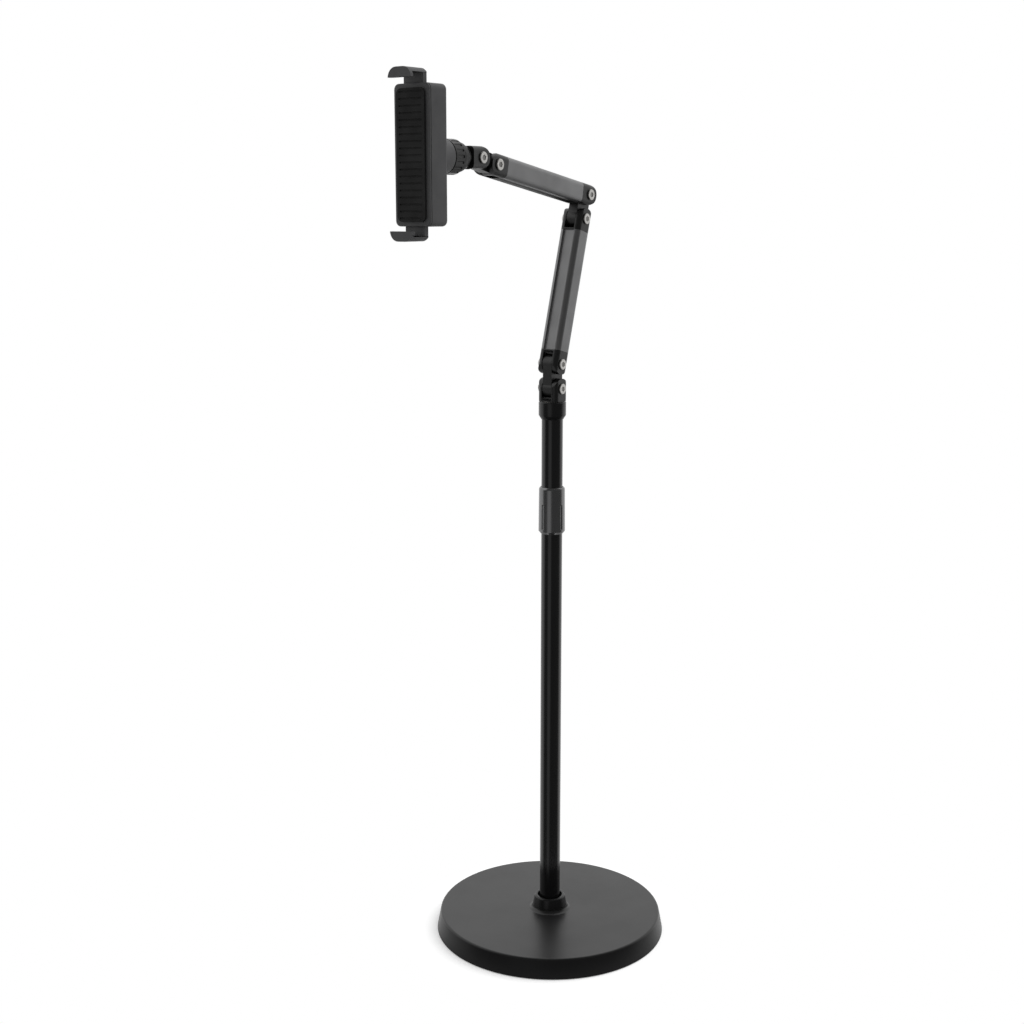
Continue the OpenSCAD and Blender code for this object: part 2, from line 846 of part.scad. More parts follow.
module yoke_nut() {
    color(c_steel) at_pivot(p6, holder_lean) pivot_nut();
}

module yoke_washers() {
    color(c_nylon) at_pivot(p6, holder_lean) pivot_washers();
}

module turn_washer() {
    color(c_nylon) at_pivot(p6, holder_lean) translate([0, 0, turn_face_z])
        tube(turn_boss_r - face_washer_inset, turn_pin_d / 2 + seat_gap, turn_washer_t);
}

module turn_retainer() {
    color(c_steel) at_pivot(p6, holder_lean) translate([0, 0, housing_z + back_wall_t + face_gap])
        tube(turn_retainer_r, turn_screw_d / 2 + seat_gap, turn_retainer_t);
}

module turn_screw() {
    color(c_steel) at_pivot(p6, holder_lean)
        translate([0, 0, housing_z + back_wall_t + face_gap + turn_retainer_t])
            screw(turn_screw_d, turn_screw_head_d, turn_screw_head_h, turn_screw_len);
}

module clamp_ring() {
    ring_r = turn_boss_r + ring_wall;
    ring_flute_r = 1.6;
    ring_flute_depth = 0.8;
    ring_flute_margin = 2;
    color(c_black) at_pivot(p6, holder_lean) translate([0, 0, ring_z]) difference() {
        turned([
            [turn_boss_r + run_gap, 0],
            [ring_r - bevel, 0],
            [ring_r, bevel],
            [ring_r, ring_len - bevel],
            [ring_r - bevel, ring_len],
            [turn_boss_r + run_gap, ring_len]
        ]);
        for (i = [0:ring_flute_count - 1]) rotate([0, 0, 360 * i / ring_flute_count])
            translate([ring_r + ring_flute_r - ring_flute_depth, 0, ring_flute_margin])
                cylinder(r = ring_flute_r, h = ring_len - 2 * ring_flute_margin);
    }
}

// Holder, drawn along its own axis: x across, y up, z towards the device

module housing_outline() {
    polygon(round_rect(housing_w, housing_h, housing_r));
}

module case_screw_places() {
    for (sx = [-1, 1], sy = [-1, 1]) translate([sx * case_screw_x, sy * case_screw_y, 0]) children();
}

module holder_back() {
    slide_w = stem_w + 2 * free_gap;
    cavity_h = spring_end_y - rib_half;
    boss_end_z = front_z - case_boss_len - free_gap;
    color(c_grip) at_pivot(p6, holder_lean) difference() {
        union() {
            translate([0, 0, turn_boss_z]) cylinder(r = turn_boss_r, h = cone_z - turn_boss_z + eps);
            translate([0, 0, cone_z])
                cylinder(
                    r1 = turn_boss_r + ring_wall,
                    r2 = housing_w / 2 - cone_inset,
                    h = boss_cone_len + eps);
            translate([0, 0, housing_z]) linear_extrude(housing_depth) housing_outline();
        }
        // bore for the yoke's stem, and the pocket for its screw
        translate([0, 0, turn_boss_z - cut])
            cylinder(d = turn_pin_d + 2 * run_gap, h = housing_z + back_wall_t - turn_boss_z + cut + eps);
        translate([0, 0, housing_z + back_wall_t])
            cylinder(r = turn_retainer_r + free_gap, h = tab_z - housing_z);
        // channel for the jaws' stems, open at both ends
        translate([-slide_w / 2, -housing_h / 2 - cut, stem_z - face_gap])
            cube([slide_w, housing_h + 2 * cut, housing_depth]);
        // rooms for the springs and the stems' tabs
        for (side = [0, 180]) rotate([0, 0, side])
            translate([-cavity_w / 2, rib_half, tab_z - tab_room])
                cube([cavity_w, cavity_h, stem_z - tab_z + tab_room]);
        // guide rod's seat
        translate([0, 0, rod_z]) rotate([90, 0, 0])
            cylinder(d = rod_d + 2 * seat_gap, h = rod_len, center = true);
        // case screws and the front's bosses
        case_screw_places() {
            translate([0, 0, housing_z - cut])
                cylinder(d = case_screw_head_d + 2 * free_gap, h = case_screw_head_h + case_screw_sunk + cut);
            translate([0, 0, housing_z]) cylinder(d = case_screw_d + 2 * seat_gap, h = housing_depth);
            translate([0, 0, boss_end_z]) cylinder(d = case_boss_d + 2 * seat_gap, h = housing_depth);
        }
    }
}

module holder_front() {
    color(c_grip) at_pivot(p6, holder_lean) difference() {
        union() {
            translate([0, 0, front_z]) linear_extrude(front_t) housing_outline();
            case_screw_places() translate([0, 0, front_z - case_boss_len])
                cylinder(d = case_boss_d, h = case_boss_len + eps);
        }
        case_screw_places() translate([0, 0, front_z - case_boss_len - cut])
            cylinder(d = case_screw_d + 2 * seat_gap, h = case_boss_len + cut);
    }
}

module holder_pad() {
    color(c_rubber) at_pivot(p6, holder_lean) translate([0, 0, pad_z]) linear_extrude(front_pad_t)
        polygon(round_rect(housing_w - 2 * front_pad_margin, housing_h - 2 * front_pad_margin, housing_r));
}

module holder_screws() {
    length = front_z - housing_z - case_screw_head_h - case_screw_short;
    color(c_steel) at_pivot(p6, holder_lean) case_screw_places()
        translate([0, 0, housing_z + case_screw_head_h + case_screw_sunk]) rotate([180, 0, 0])
            screw(case_screw_d, case_screw_head_d, case_screw_head_h, length);
}

module guide_rod() {
    color(c_steel) at_pivot(p6, holder_lean) translate([0, 0, rod_z]) rotate([90, 0, 0])
        cylinder(d = rod_d, h = rod_len, center = true);
}

// Coil spring round the guide rod, from the stem's tab to the housing's end wall
module jaw_spring() {
    turn_steps = 8;
    step_angle = 360 / turn_steps;
    rings = turn_steps * spring_turns;
    sides = 6;
    y0 = spring_y + spring_wire_d / 2 + face_gap;
    y1 = spring_end_y - spring_wire_d / 2 - face_gap;
    function outward(i) = [cos(step_angle * i), 0, sin(step_angle * i)];
    function at(i) = [0, y0 + (y1 - y0) * i / rings, rod_z] + spring_r * outward(i);
    function ring_point(i, j) = at(i)
        + spring_wire_d / 2 * (cos(360 * j / sides) * outward(i) + sin(360 * j / sides) * [0, 1, 0]);
    points = [for (i = [0:rings], j = [0:sides - 1]) ring_point(i, j)];
    walls = [for (i = [0:rings - 1], j = [0:sides - 1], half = [0, 1])
        let (a = i * sides + j, b = i * sides + (j + 1) % sides)
        half == 0 ? [a, a + sides, b] : [b, a + sides, b + sides]];
    first_cap = [for (j = [1:sides - 2]) [0, j, j + 1]];
    last = rings * sides;
    last_cap = [for (j = [1:sides - 2]) [last, last + j + 1, last + j]];
    echo(spring_gap = (y1 - y0) / spring_turns - spring_wire_d);
    polyhedron(points, [each walls, each first_cap, each last_cap]);
}

module top_spring() {
    color(c_steel) at_pivot(p6, holder_lean) jaw_spring();
}

module bottom_spring() {
    color(c_steel) at_pivot(p6, holder_lean) mirror([0, 1, 0]) jaw_spring();
}

// Jaw above the device: stem, tab on the guide rod, shelf and lip
module jaw() {
    shelf_y = grip_h / 2 + jaw_pad_t;
    lip_y = grip_h / 2 - lip_h;
    difference() {
        union() {
            translate([-stem_w / 2, tab_y, stem_z]) cube([stem_w, shelf_y - tab_y + eps, stem_t]);
            translate([-tab_w / 2, tab_y, tab_z]) cube([tab_w, tab_t, stem_z - tab_z + eps]);
            translate([0, 0, stem_z]) linear_extrude(jaw_front_z - stem_z) jaw_outline(shelf_y);
            translate([0, 0, lip_z]) linear_extrude(lip_t) jaw_outline(lip_y);
        }
        translate([0, tab_y - cut, rod_z]) rotate([-90, 0, 0])
            cylinder(d = rod_d + 2 * run_gap, h = tab_t + 2 * cut);
    }
}

// Front view of a jaw from a height up to its rounded outer edge
module jaw_outline(y) {
    top = grip_h / 2 + jaw_pad_t + jaw_t;
    intersection() {
        translate([0, top - jaw_w / 2]) polygon(round_rect(jaw_w, jaw_w, jaw_corner_r));
        translate([-jaw_w / 2, y]) square([jaw_w, top - y]);
    }
}

// Pad lining a jaw's shelf and lip
module jaw_pad() {
    y = grip_h / 2;
    pad_w = jaw_w - 2 * jaw_pad_inset;
    translate([-pad_w / 2, y, slot_z]) cube([pad_w, jaw_pad_t, lip_z - slot_z]);
    translate([-pad_w / 2, y - lip_h, lip_z - jaw_pad_t]) cube([pad_w, lip_h + eps, jaw_pad_t]);
}

module top_jaw() {
    color(c_grip) at_pivot(p6, holder_lean) jaw();
}

module top_jaw_pad() {
    color(c_rubber) at_pivot(p6, holder_lean) jaw_pad();
}

module bottom_jaw() {
    color(c_grip) at_pivot(p6, holder_lean) mirror([0, 1, 0]) jaw();
}

module bottom_jaw_pad() {
    color(c_rubber) at_pivot(p6, holder_lean) mirror([0, 1, 0]) jaw_pad();
}

base_pad();
counterweight();
base_cover();
base_hub();
hub_bolt();
hub_washer();
foot_plug();
lower_tube();
lock_collet();
lock_sleeve();
inner_tube();
glide_bush();
tube_bushes();
upper_tube();
mast_cap();
swivel_fork();
pan_washer();
pan_retainer();
pan_screw();
swivel_bolt();
swivel_nut();
swivel_washers();
shoulder_link();
lower_beam();
lower_foot_fork();
lower_head_fork();
lower_bolts();
lower_nuts();
lower_washers();
lower_set_screws();
elbow_link();
upper_beam();
upper_elbow_fork();
upper_wrist_fork();
upper_bolts();
upper_nuts();
upper_washers();
upper_set_screws();
wrist_link();
yoke();
yoke_bolt();
yoke_nut();
yoke_washers();
turn_washer();
turn_retainer();
turn_screw();
clamp_ring();
holder_back();
holder_front();
holder_pad();
holder_screws();
guide_rod();
top_spring();
bottom_spring();
top_jaw();
top_jaw_pad();
bottom_jaw();
bottom_jaw_pad();
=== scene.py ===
"""Dressed model of an adjustable tablet floor stand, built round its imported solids."""

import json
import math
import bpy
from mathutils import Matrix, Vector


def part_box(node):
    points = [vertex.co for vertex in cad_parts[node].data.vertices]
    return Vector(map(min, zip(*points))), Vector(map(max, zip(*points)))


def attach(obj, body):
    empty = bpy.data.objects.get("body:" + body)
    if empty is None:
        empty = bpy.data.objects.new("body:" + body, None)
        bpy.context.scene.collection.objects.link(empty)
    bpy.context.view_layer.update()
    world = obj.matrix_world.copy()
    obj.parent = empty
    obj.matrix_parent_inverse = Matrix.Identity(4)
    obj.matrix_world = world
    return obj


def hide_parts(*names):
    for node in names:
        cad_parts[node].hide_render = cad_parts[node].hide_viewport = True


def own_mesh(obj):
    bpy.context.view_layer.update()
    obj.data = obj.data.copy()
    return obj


bl_info = {
    "name": "Tablet Floor Stand",
    "version": (1, 0, 0),
    "blender": (4, 5, 0),
    "location": "View3D > Sidebar > Stand",
    "description": "Models the pieces of an adjustable tablet floor stand round its solids",
    "category": "Add Mesh",
}

import bmesh
import bpy
from bpy.props import FloatProperty, FloatVectorProperty, IntProperty, PointerProperty
from mathutils import Matrix, Vector

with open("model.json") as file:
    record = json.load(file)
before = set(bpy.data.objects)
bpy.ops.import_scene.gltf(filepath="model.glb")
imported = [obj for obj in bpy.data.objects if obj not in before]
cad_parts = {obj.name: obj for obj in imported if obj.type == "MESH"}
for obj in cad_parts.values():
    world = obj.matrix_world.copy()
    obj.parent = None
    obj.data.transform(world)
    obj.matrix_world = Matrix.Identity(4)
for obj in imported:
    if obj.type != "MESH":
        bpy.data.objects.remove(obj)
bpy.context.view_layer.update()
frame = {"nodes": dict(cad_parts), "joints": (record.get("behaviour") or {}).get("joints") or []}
# Points closer than this are merged
MERGE = 1e-6
# Rings of a turned piece that differ by less than this share have the same size
SAME_RATIO = 1e-9
# How far a cutting shape runs past what it cuts
SPARE = 0.002
# Room round what turns or slides, and round what only has to pass
RUN_GAP = 0.0001
FREE_GAP = 0.0003
# Angles from which an edge is rounded, and from which it is shaded as an edge
SOFTEN_ANGLE = math.radians(32)
SHARP_ANGLE = math.radians(35)


def pivot_of(joint_name):
    """A joint's pivot in the frame, in metres."""
    for joint in frame["joints"]:
        if joint["name"] == joint_name:
            return Vector(joint["pos_m"])
    raise RuntimeError(f"the frame has no joint {joint_name}")


def lean_between(start, end):
    """Angle that a piece running up from start to end leans forward."""
    return math.atan2(start.y - end.y, end.z - start.z)


COLLAR_PIVOT = pivot_of("shoulder_tilt")
FOOT_PIVOT = pivot_of("lower_arm_tilt")
ELBOW_LOW_PIVOT = pivot_of("elbow_tilt")
ELBOW_HIGH_PIVOT = pivot_of("upper_arm_tilt")
WRIST_PIVOT = pivot_of("wrist_tilt")
HOLDER_PIVOT = pivot_of("holder_tilt")
LOWER_LEAN = lean_between(FOOT_PIVOT, ELBOW_LOW_PIVOT)
ELBOW_LEAN = lean_between(ELBOW_LOW_PIVOT, ELBOW_HIGH_PIVOT)
UPPER_LEAN = lean_between(ELBOW_HIGH_PIVOT, WRIST_PIVOT)
WRIST_LEAN = lean_between(WRIST_PIVOT, HOLDER_PIVOT)
HOLDER_LEAN = math.pi / 2


# Sizes and colours


def length(name, description, default):
    """A length in metres that the panel shows."""
    return FloatProperty(
        name=name, description=description, default=default, min=0.0, precision=5, unit="LENGTH"
    )


def number(name, description, default):
    """How many of something there are, which the panel shows."""
    return IntProperty(name=name, description=description, default=default, min=2)


def portion(name, description, default):
    """A share of another size that the panel shows."""
    return FloatProperty(
        name=name, description=description, default=default, min=0.05, max=1.0, subtype="FACTOR"
    )


def colour(name, description, default):
    """A finish colour that the panel shows."""
    return FloatVectorProperty(
        name=name, description=description, default=default, size=3, min=0.0, max=1.0, subtype="COLOR"
    )


def low(node, axis):
    """Lowest place of a solid along an axis."""
    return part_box(node)[0][axis]


def high(node, axis):
    """Highest place of a solid along an axis."""
    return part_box(node)[1][axis]


def across(node, axis):
    """Extent of a solid along an axis."""
    return high(node, axis) - low(node, axis)


class BaseSizes(bpy.types.PropertyGroup):
    """Sizes of the weighted base and its hub."""

    radius: length("Radius", "Outer radius at the floor", high("base_cover", 0))
    lean_in: length("Lean in", "How far the side leans in at the top", 0.0035)
    rim: length("Rim height", "Height of the cover's lower edge", low("base_cover", 2))
    top: length("Top height", "Height of the flat top", 0.0205)
    edge: length("Edge round", "Radius of the top edge", 0.002)
    wall: length("Cover wall", "Thickness of the cover", 0.002)
    boss: length("Boss radius", "Radius of the boss under the hub", 0.018)
    boss_top: length("Boss height", "Height of the boss's top", high("base_cover", 2))
    hole: length("Hole radius", "Radius of the hole under the hub", 0.0053)
    hub_foot: length("Hub foot radius", "Radius of the hub where it stands on the boss", 0.0176)
    hub_rim: length("Hub rim radius", "Radius of the hub at its top", 0.0157)
    hub_top: length("Hub height", "Height of the hub's top", high("base_hub", 2))
    hub_chamfer: length("Hub chamfer", "Chamfer round the hub's rim", 0.001)
    recess_wide: length("Recess width", "Width of the recess round the pole", 0.0022)
    recess_deep: length("Recess depth", "Depth of the recess round the pole", 0.006)
    pad_radius: length("Pad radius", "Radius of the floor pad", high("base_pad", 0))
    pad_top: length("Pad thickness", "Thickness of the floor pad", high("base_pad", 2))
    pad_hole: length("Pad hole", "Radius of the hole in the middle of the floor pad", 0.004)
    pad_rings: number("Pad rings", "Rings cut into the floor pad", 10)
    pad_groove: length("Ring depth", "Depth of the rings in the floor pad", 0.0006)
    ring_mouth: length("Ring mouth", "Half the width of a ring at the floor", 0.0015)
    ring_bed: length("Ring bed", "Half the width of a ring at its deepest", 0.001)


class PoleSizes(bpy.types.PropertyGroup):
    """Sizes of the tubes, the twist-lock sleeve and the collar."""

    radius: length("Tube radius", "Outer radius of both tubes", high("lower_tube", 0))
    wall: length("Tube wall", "Wall of both tubes", 0.0012)
    inner_radius: length("Inner tube radius", "Outer radius of the inner tube", high("inner_tube", 0))
    end_chamfer: length("Tube chamfer", "Chamfer at a tube's ends", 0.0003)
    sleeve_radius: length("Sleeve radius", "Radius of the sleeve", 0.0129)
    sleeve_flare: length("Sleeve flare", "How much wider the sleeve is below", 0.00035)
    sleeve_chamfer: length("Sleeve chamfer", "Length of the sleeve's sloping ends", 0.0024)
    sleeve_rim: length("Sleeve rim", "Width of the sleeve's end faces", 0.0008)
    sleeve_drop: length("Sleeve drop", "How far the upper slope is rounded in", 0.0004)
    flutes: number("Flutes", "Flutes round the sleeve", 4)
    flute_turn: FloatProperty(
        name="Flute turn", description="Turn of the first flute round the sleeve", default=math.radians(-7),
        subtype="ANGLE",
    )
    flute_share: portion("Flute length", "Share of the sleeve's length that a flute takes", 0.55)
    flute_radius: length("Flute radius", "Radius of a flute", 0.0022)
    flute_deep: length("Flute depth", "Depth of a flute", 0.0006)
    collar_radius: length("Collar radius", "Radius of the collar", high("mast_cap", 0))
    collar_chamfer: length("Collar chamfer", "Height of the collar's sloping foot", 0.0042)
    collar_lip: length("Collar lip", "Width of the collar's lower edge", 0.0004)
    collar_bevel: length("Collar bevel", "Bevel round the collar's top", 0.0006)
    collar_bore: length("Collar bore", "Radius of the swivel's bore", 0.00506)
    collar_plate: length("Collar plate", "Thickness of the collar's top", 0.005)


class ArmSizes(bpy.types.PropertyGroup):
    """Sizes of the arms, their knuckles and their fasteners."""

    width: length("Arm width", "Width across the bolts", across("lower_foot_fork", 0))
    depth: length("Arm depth", "Depth from front to back", 0.020)
    pitch: length("Arm pitch", "Distance between an arm's pivots", 0.144)
    edge: length("Arm edge", "Radius along an arm's edges", 0.0048)
    groove_wide: length("Groove width", "Width of an arm's groove", 0.0126)
    groove_deep: length("Groove depth", "Depth of an arm's groove", 0.002)
    groove_round: length("Groove round", "Radius at the foot of a groove", 0.0015)
    reach: length("Fork reach", "From a pivot to the end of its fork", 0.0125)
    slot: length("Slot width", "Width between a fork's ears", 0.0118)
    slot_floor: length("Slot floor", "From a pivot to the floor of its slot", 0.0113)
    soft_edge: length("Soft edge", "Rounding of a knuckle's edges", 0.0005)
    link_pitch: length("Link pitch", "Distance between a link's eyes", 0.024)
    link_thick: length("Link thickness", "Thickness of a link", across("shoulder_link", 0))
    eye: length("Eye radius", "Radius of a link's eye", 0.0096)
    waist: length("Link waist", "Width of a link between its eyes", 0.0175)
    pin: length("Pin diameter", "Diameter of a pivot bolt", 0.006)
    play: length("Play", "Room between a bolt and an eye", 0.00006)
    pin_chamfer: length("Pin chamfer", "Chamfer at a bolt's end", 0.0006)
    head: length("Head diameter", "Diameter of a bolt's head", 0.0106)
    head_tall: length("Head height", "Height of a bolt's head", 0.0014)
    head_edge: length("Head edge", "Radius round a bolt's head", 0.0009)
    head_bevel: length("Head bevel", "Bevel under a bolt's head", 0.0002)
    socket: length("Socket width", "Width of a bolt's socket across its flats", 0.0045)
    nut: length("Nut width", "Width of a nut across its flats", 0.010)
    nut_tall: length("Nut height", "Height of a nut", 0.005)
    nut_collar: length("Nut collar", "Height of a nut's locking collar", 0.001)
    nut_sunk: length("Nut seat", "How deep a nut sits in its fork", 0.0024)


class HolderSizes(bpy.types.PropertyGroup):
    """Sizes of the holder, measured along its own axis from its pivot."""

    flange: length("Flange", "Radius of the yoke's flange", 0.013)
    flange_at: length("Flange place", "Where the flange starts", 0.020)
    flange_thick: length("Flange thickness", "Thickness of the flange", 0.006)
    turned_edge: length("Turned edge", "Bevel round the flange and the clamp ring", 0.001)
    stem: length("Stem radius", "Radius of the stem that the holder turns on", 0.007)
    stem_end: length("Stem end", "Where the stem ends", 0.06065)
    boss: length("Boss radius", "Radius of the boss inside the clamp ring", 0.012)
    boss_at: length("Boss place", "Where the boss starts", 0.027)
    ring: length("Ring radius", "Outer radius of the clamp ring", 0.0154)
    ring_at: length("Ring place", "Where the clamp ring starts", 0.0273)
    ring_long: length("Ring length", "Length of the clamp ring", 0.014)
    ring_flutes: number("Ring flutes", "Flutes round the ring", 18)
    ring_flute: length("Ring flute radius", "Radius of a flute in the ring", 0.0016)
    ring_flute_deep: length("Ring flute depth", "Depth of a flute in the ring", 0.0008)
    cone_at: length("Cone place", "Where the cone behind the housing starts", 0.0416)
    cone_inset: length("Cone inset", "How far the cone stays inside the housing's sides", 0.002)
    back_at: length("Back place", "Where the housing's back is", 0.0576)
    back_edge: length("Back edge", "Radius round the housing's back", 0.0025)
    screw_sunk: length("Screw seat", "Depth of the case screws' holes", 0.0026)
    front_at: length("Front place", "Where the front cover starts", 0.0786)
    front_thick: length("Front thickness", "Thickness of the front cover", 0.0025)
    front_seam: length("Front seam", "Seam between the housing and its front cover", 0.0002)
    pad_thick: length("Pad thickness", "Thickness of the front pad", 0.002)
    pad_margin: length("Pad margin", "How far the front pad stays inside the housing's edge", 0.004)
    pad_grooves: number("Pad grooves", "Grooves across the front pad", 19)
    groove_half: length("Pad groove width", "Half the width of a groove in the front pad", 0.0007)
    groove_deep: length("Pad groove depth", "Depth of a groove in the front pad", 0.0007)
    groove_margin: length("Pad groove margin", "How far the grooves stay inside the pad", 0.003)
    width: length("Housing width", "Width of the housing", 0.040)
    height: length("Housing height", "Height of the housing", 0.119)
    corner: length("Housing corner", "Radius of the housing's corners", 0.005)
    grip: length("Grip height", "Height between the jaws' pads", 0.134)
    slot: length("Slot depth", "Depth of the slot that the jaws leave", 0.0085)
    jaw_wide: length("Jaw width", "Width of a jaw", 0.026)
    jaw_thick: length("Jaw thickness", "Thickness of a jaw's shelf", 0.004)
    jaw_corner: length("Jaw corner", "Radius of a jaw's outer corners", 0.009)
    jaw_pad: length("Jaw pad", "Thickness of a jaw's pad", 0.001)
    jaw_pad_inset: length("Jaw pad inset", "How far a jaw's pad stays inside its sides", 0.002)
    ribs: number("Jaw pad ribs", "Grooves across a jaw's pad", 4)
    rib_first: length("First rib", "From the pad's inner edge to its first groove", 0.0015)
    rib_pitch: length("Rib pitch", "Distance between the grooves", 0.0022)
    rib_wide: length("Rib width", "Width of a groove", 0.0009)
    rib_deep: length("Rib depth", "Depth of a groove", 0.0004)
    lip_thick: length("Lip thickness", "Thickness of a jaw's lip", 0.0035)
    lip_tall: length("Lip height", "How far a lip reaches over the pad's face", 0.0036)
    jaw_stem_wide: length("Jaw stem width", "Width of a jaw's stem", 0.022)
    jaw_stem_at: length("Jaw stem place", "Where a jaw's stem starts", 0.0738)
    jaw_stem_thick: length("Jaw stem thickness", "Thickness of a jaw's stem", 0.0045)
    jaw_stem_foot: length("Jaw stem foot", "Where a jaw's stem ends above the middle", 0.005)
    jaw_stem_lap: length("Jaw stem lap", "How far a jaw's stem runs into its shelf", 0.0004)
    jaw_stem_room: length("Jaw stem room", "Room below a jaw's stem", 0.001)
    rod_at: length("Rod place", "Where the guide rod runs", 0.0686)
    spring_from: length("Spring start", "Where a spring starts above the middle", 0.0095)
    spring_to: length("Spring end", "Where a spring ends above the middle", 0.0555)
    spring_radius: length("Spring radius", "Radius of a spring at its wire's middle", 0.00275)
    spring_wire: length("Spring wire", "Diameter of a spring's wire", 0.0007)
    spring_room: length("Spring room", "Room round a spring", 0.0012)
    spring_turns: number("Spring turns", "Turns of a spring", 8)
    spring_keep: portion("Spring keep", "Share of a spring's length left at full travel", 0.14)


class StandColours(bpy.types.PropertyGroup):
    """Colours of the finishes."""

    base: colour("Base paint", "Satin paint of the base", (0.008, 0.008, 0.0082))
    tube: colour("Tube paint", "Paint of the tubes", (0.0058, 0.0058, 0.006))
    black: colour("Black plastic", "Plastic of the collar, hub and clamp ring", (0.006, 0.006, 0.0062))
    sleeve: colour("Sleeve anodising", "Anodised aluminium of the twist-lock sleeve", (0.18, 0.18, 0.182))
    holder: colour("Holder plastic", "Plastic of the housing and jaws", (0.062, 0.062, 0.064))
    arm: colour("Arm anodising", "Anodised aluminium of the arms", (0.235, 0.235, 0.237))
    knuckle: colour("Knuckle paint", "Paint of the forks and links", (0.005, 0.005, 0.0049))
    steel: colour("Steel", "Bright steel of the bolts and nuts", (0.56, 0.55, 0.53))
    tube_steel: colour("Inner tube", "Steel of the inner tube", (0.55, 0.55, 0.56))
    iron: colour("Iron", "Cast iron of the counterweight", (0.06, 0.058, 0.056))
    rubber: colour("Rubber", "Rubber of the pads", (0.012, 0.012, 0.012))
    nylon: colour("Nylon", "Nylon of the washers and bushes", (0.56, 0.55, 0.51))


# Modelling helpers


def only(piece):
    """Selects one piece alone and makes it the active one."""
    bpy.ops.object.select_all(action="DESELECT")
    piece.select_set(True)
    bpy.context.view_layer.objects.active = piece


def named(name):
    """Names the piece that was just added, with its place and size applied to its mesh."""
    piece = bpy.context.active_object
    piece.name = name
    piece.data.name = name
    bpy.ops.object.transform_apply(location=True, rotation=True, scale=True)
    return piece


def add_block(name, corner, far_corner):
    """Adds a block between two corners."""
    bpy.ops.object.select_all(action="DESELECT")
    corner, far_corner = Vector(corner), Vector(far_corner)
    bpy.ops.mesh.primitive_cube_add(size=1, location=(corner + far_corner) / 2, scale=far_corner - corner)
    return named(name)


def add_rod(name, radius, start, end, sides=64):
    """Adds a rod between two points on a line along one axis."""
    bpy.ops.object.select_all(action="DESELECT")
    start, end = Vector(start), Vector(end)
    turn = (end - start).to_track_quat("Z", "Y").to_euler()
    bpy.ops.mesh.primitive_cylinder_add(
        vertices=sides, radius=radius, depth=(end - start).length, location=(start + end) / 2, rotation=turn
    )
    return named(name)


def hex_radius(flats):
    """Corner radius of a hexagon that has a width across its flats."""
    return flats / math.sqrt(3)


def open_mesh(piece):
    """Opens a piece in edit mode."""
    only(piece)
    bpy.ops.object.mode_set(mode="EDIT")


def close_mesh():
    """Goes back to object mode."""
    bpy.ops.object.mode_set(mode="OBJECT")


def pick(piece, kind, test):
    """Selects the vertices, edges or faces of the open mesh that pass a test."""
    modes = {"verts": "VERT", "edges": "EDGE", "faces": "FACE"}
    bpy.ops.mesh.select_mode(type=modes[kind])
    bpy.ops.mesh.select_all(action="DESELECT")
    mesh = bmesh.from_edit_mesh(piece.data)
    found = [item for item in getattr(mesh, kind) if test(item)]
    if not found:
        raise RuntimeError(f"nothing to select on {piece.name}")
    for item in found:
        item.select_set(True)
    bmesh.update_edit_mesh(piece.data)


def runs_along(edge, axis):
    """Whether an edge runs along an axis."""
    way = edge.verts[1].co - edge.verts[0].co
    return abs(abs(way[axis]) - way.length) < MERGE


def upright(edge):
    """Whether an edge runs along Z."""
    return runs_along(edge, 2)


def middle(edge):
    """Middle of an edge."""
    return (edge.verts[0].co + edge.verts[1].co) / 2


def round_edges(piece, test, radius, steps):
    """Rounds the edges that pass a test."""
    open_mesh(piece)
    pick(piece, "edges", test)
    bpy.ops.mesh.bevel(offset=radius, segments=steps, affect="EDGES")
    bpy.ops.mesh.select_all(action="SELECT")
    bpy.ops.mesh.remove_doubles(threshold=MERGE)
    close_mesh()


def arc(centre, radius, first, last, steps):
    """Profile points on an arc, with angles in degrees."""
    points = []
    for step in range(steps + 1):
        angle = math.radians(first + (last - first) * step / steps)
        points.append((centre[0] + radius * math.cos(angle), centre[1] + radius * math.sin(angle)))
    return points


def ring_profile(bore, radius, foot, head, cut):
    """Profile of a plain ring or tube with its outer edges cut off."""
    return [
        (bore, foot),
        (radius - cut, foot),
        (radius, foot + cut),
        (radius, head - cut),
        (radius - cut, head),
        (bore, head),
    ]


def turned(name, profile, sides=96, ring=True):
    """Turns a profile of (radius, height) points round Z, by extruding and resizing a circle."""
    bpy.ops.object.select_all(action="DESELECT")
    radius, height = profile[0]
    bpy.ops.mesh.primitive_circle_add(vertices=sides, radius=radius, location=(0, 0, height))
    piece = named(name)
    open_mesh(piece)
    bpy.ops.mesh.select_all(action="SELECT")
    for next_radius, next_height in list(profile[1:]) + ([profile[0]] if ring else []):
        bpy.ops.mesh.extrude_region_move(TRANSFORM_OT_translate={"value": (0, 0, next_height - height)})
        ratio = next_radius / radius
        if abs(ratio - 1) > SAME_RATIO:
            bpy.ops.transform.resize(value=(ratio, ratio, 1), center_override=(0, 0, 0))
        radius, height = next_radius, next_height
    bpy.ops.mesh.select_all(action="SELECT")
    bpy.ops.mesh.remove_doubles(threshold=MERGE)
    bpy.ops.mesh.fill_holes(sides=0)
    bpy.ops.mesh.normals_make_consistent(inside=False)
    close_mesh()
    return piece


def modify(piece, kind, **settings):
    """Adds a modifier with its settings and applies it."""
    only(piece)
    modifier = piece.modifiers.new(kind.lower(), kind)
    for setting, value in settings.items():
        setattr(modifier, setting, value)
    bpy.ops.object.modifier_apply(modifier=modifier.name)


def combine(piece, tool, operation):
    """Cuts a piece with a tool, joins them or keeps what they share, and removes the tool."""
    modify(piece, "BOOLEAN", operation=operation, solver="EXACT", object=tool)
    bpy.data.objects.remove(tool, do_unlink=True)
    if not piece.data.polygons:
        raise RuntimeError(f"nothing is left of {piece.name}")


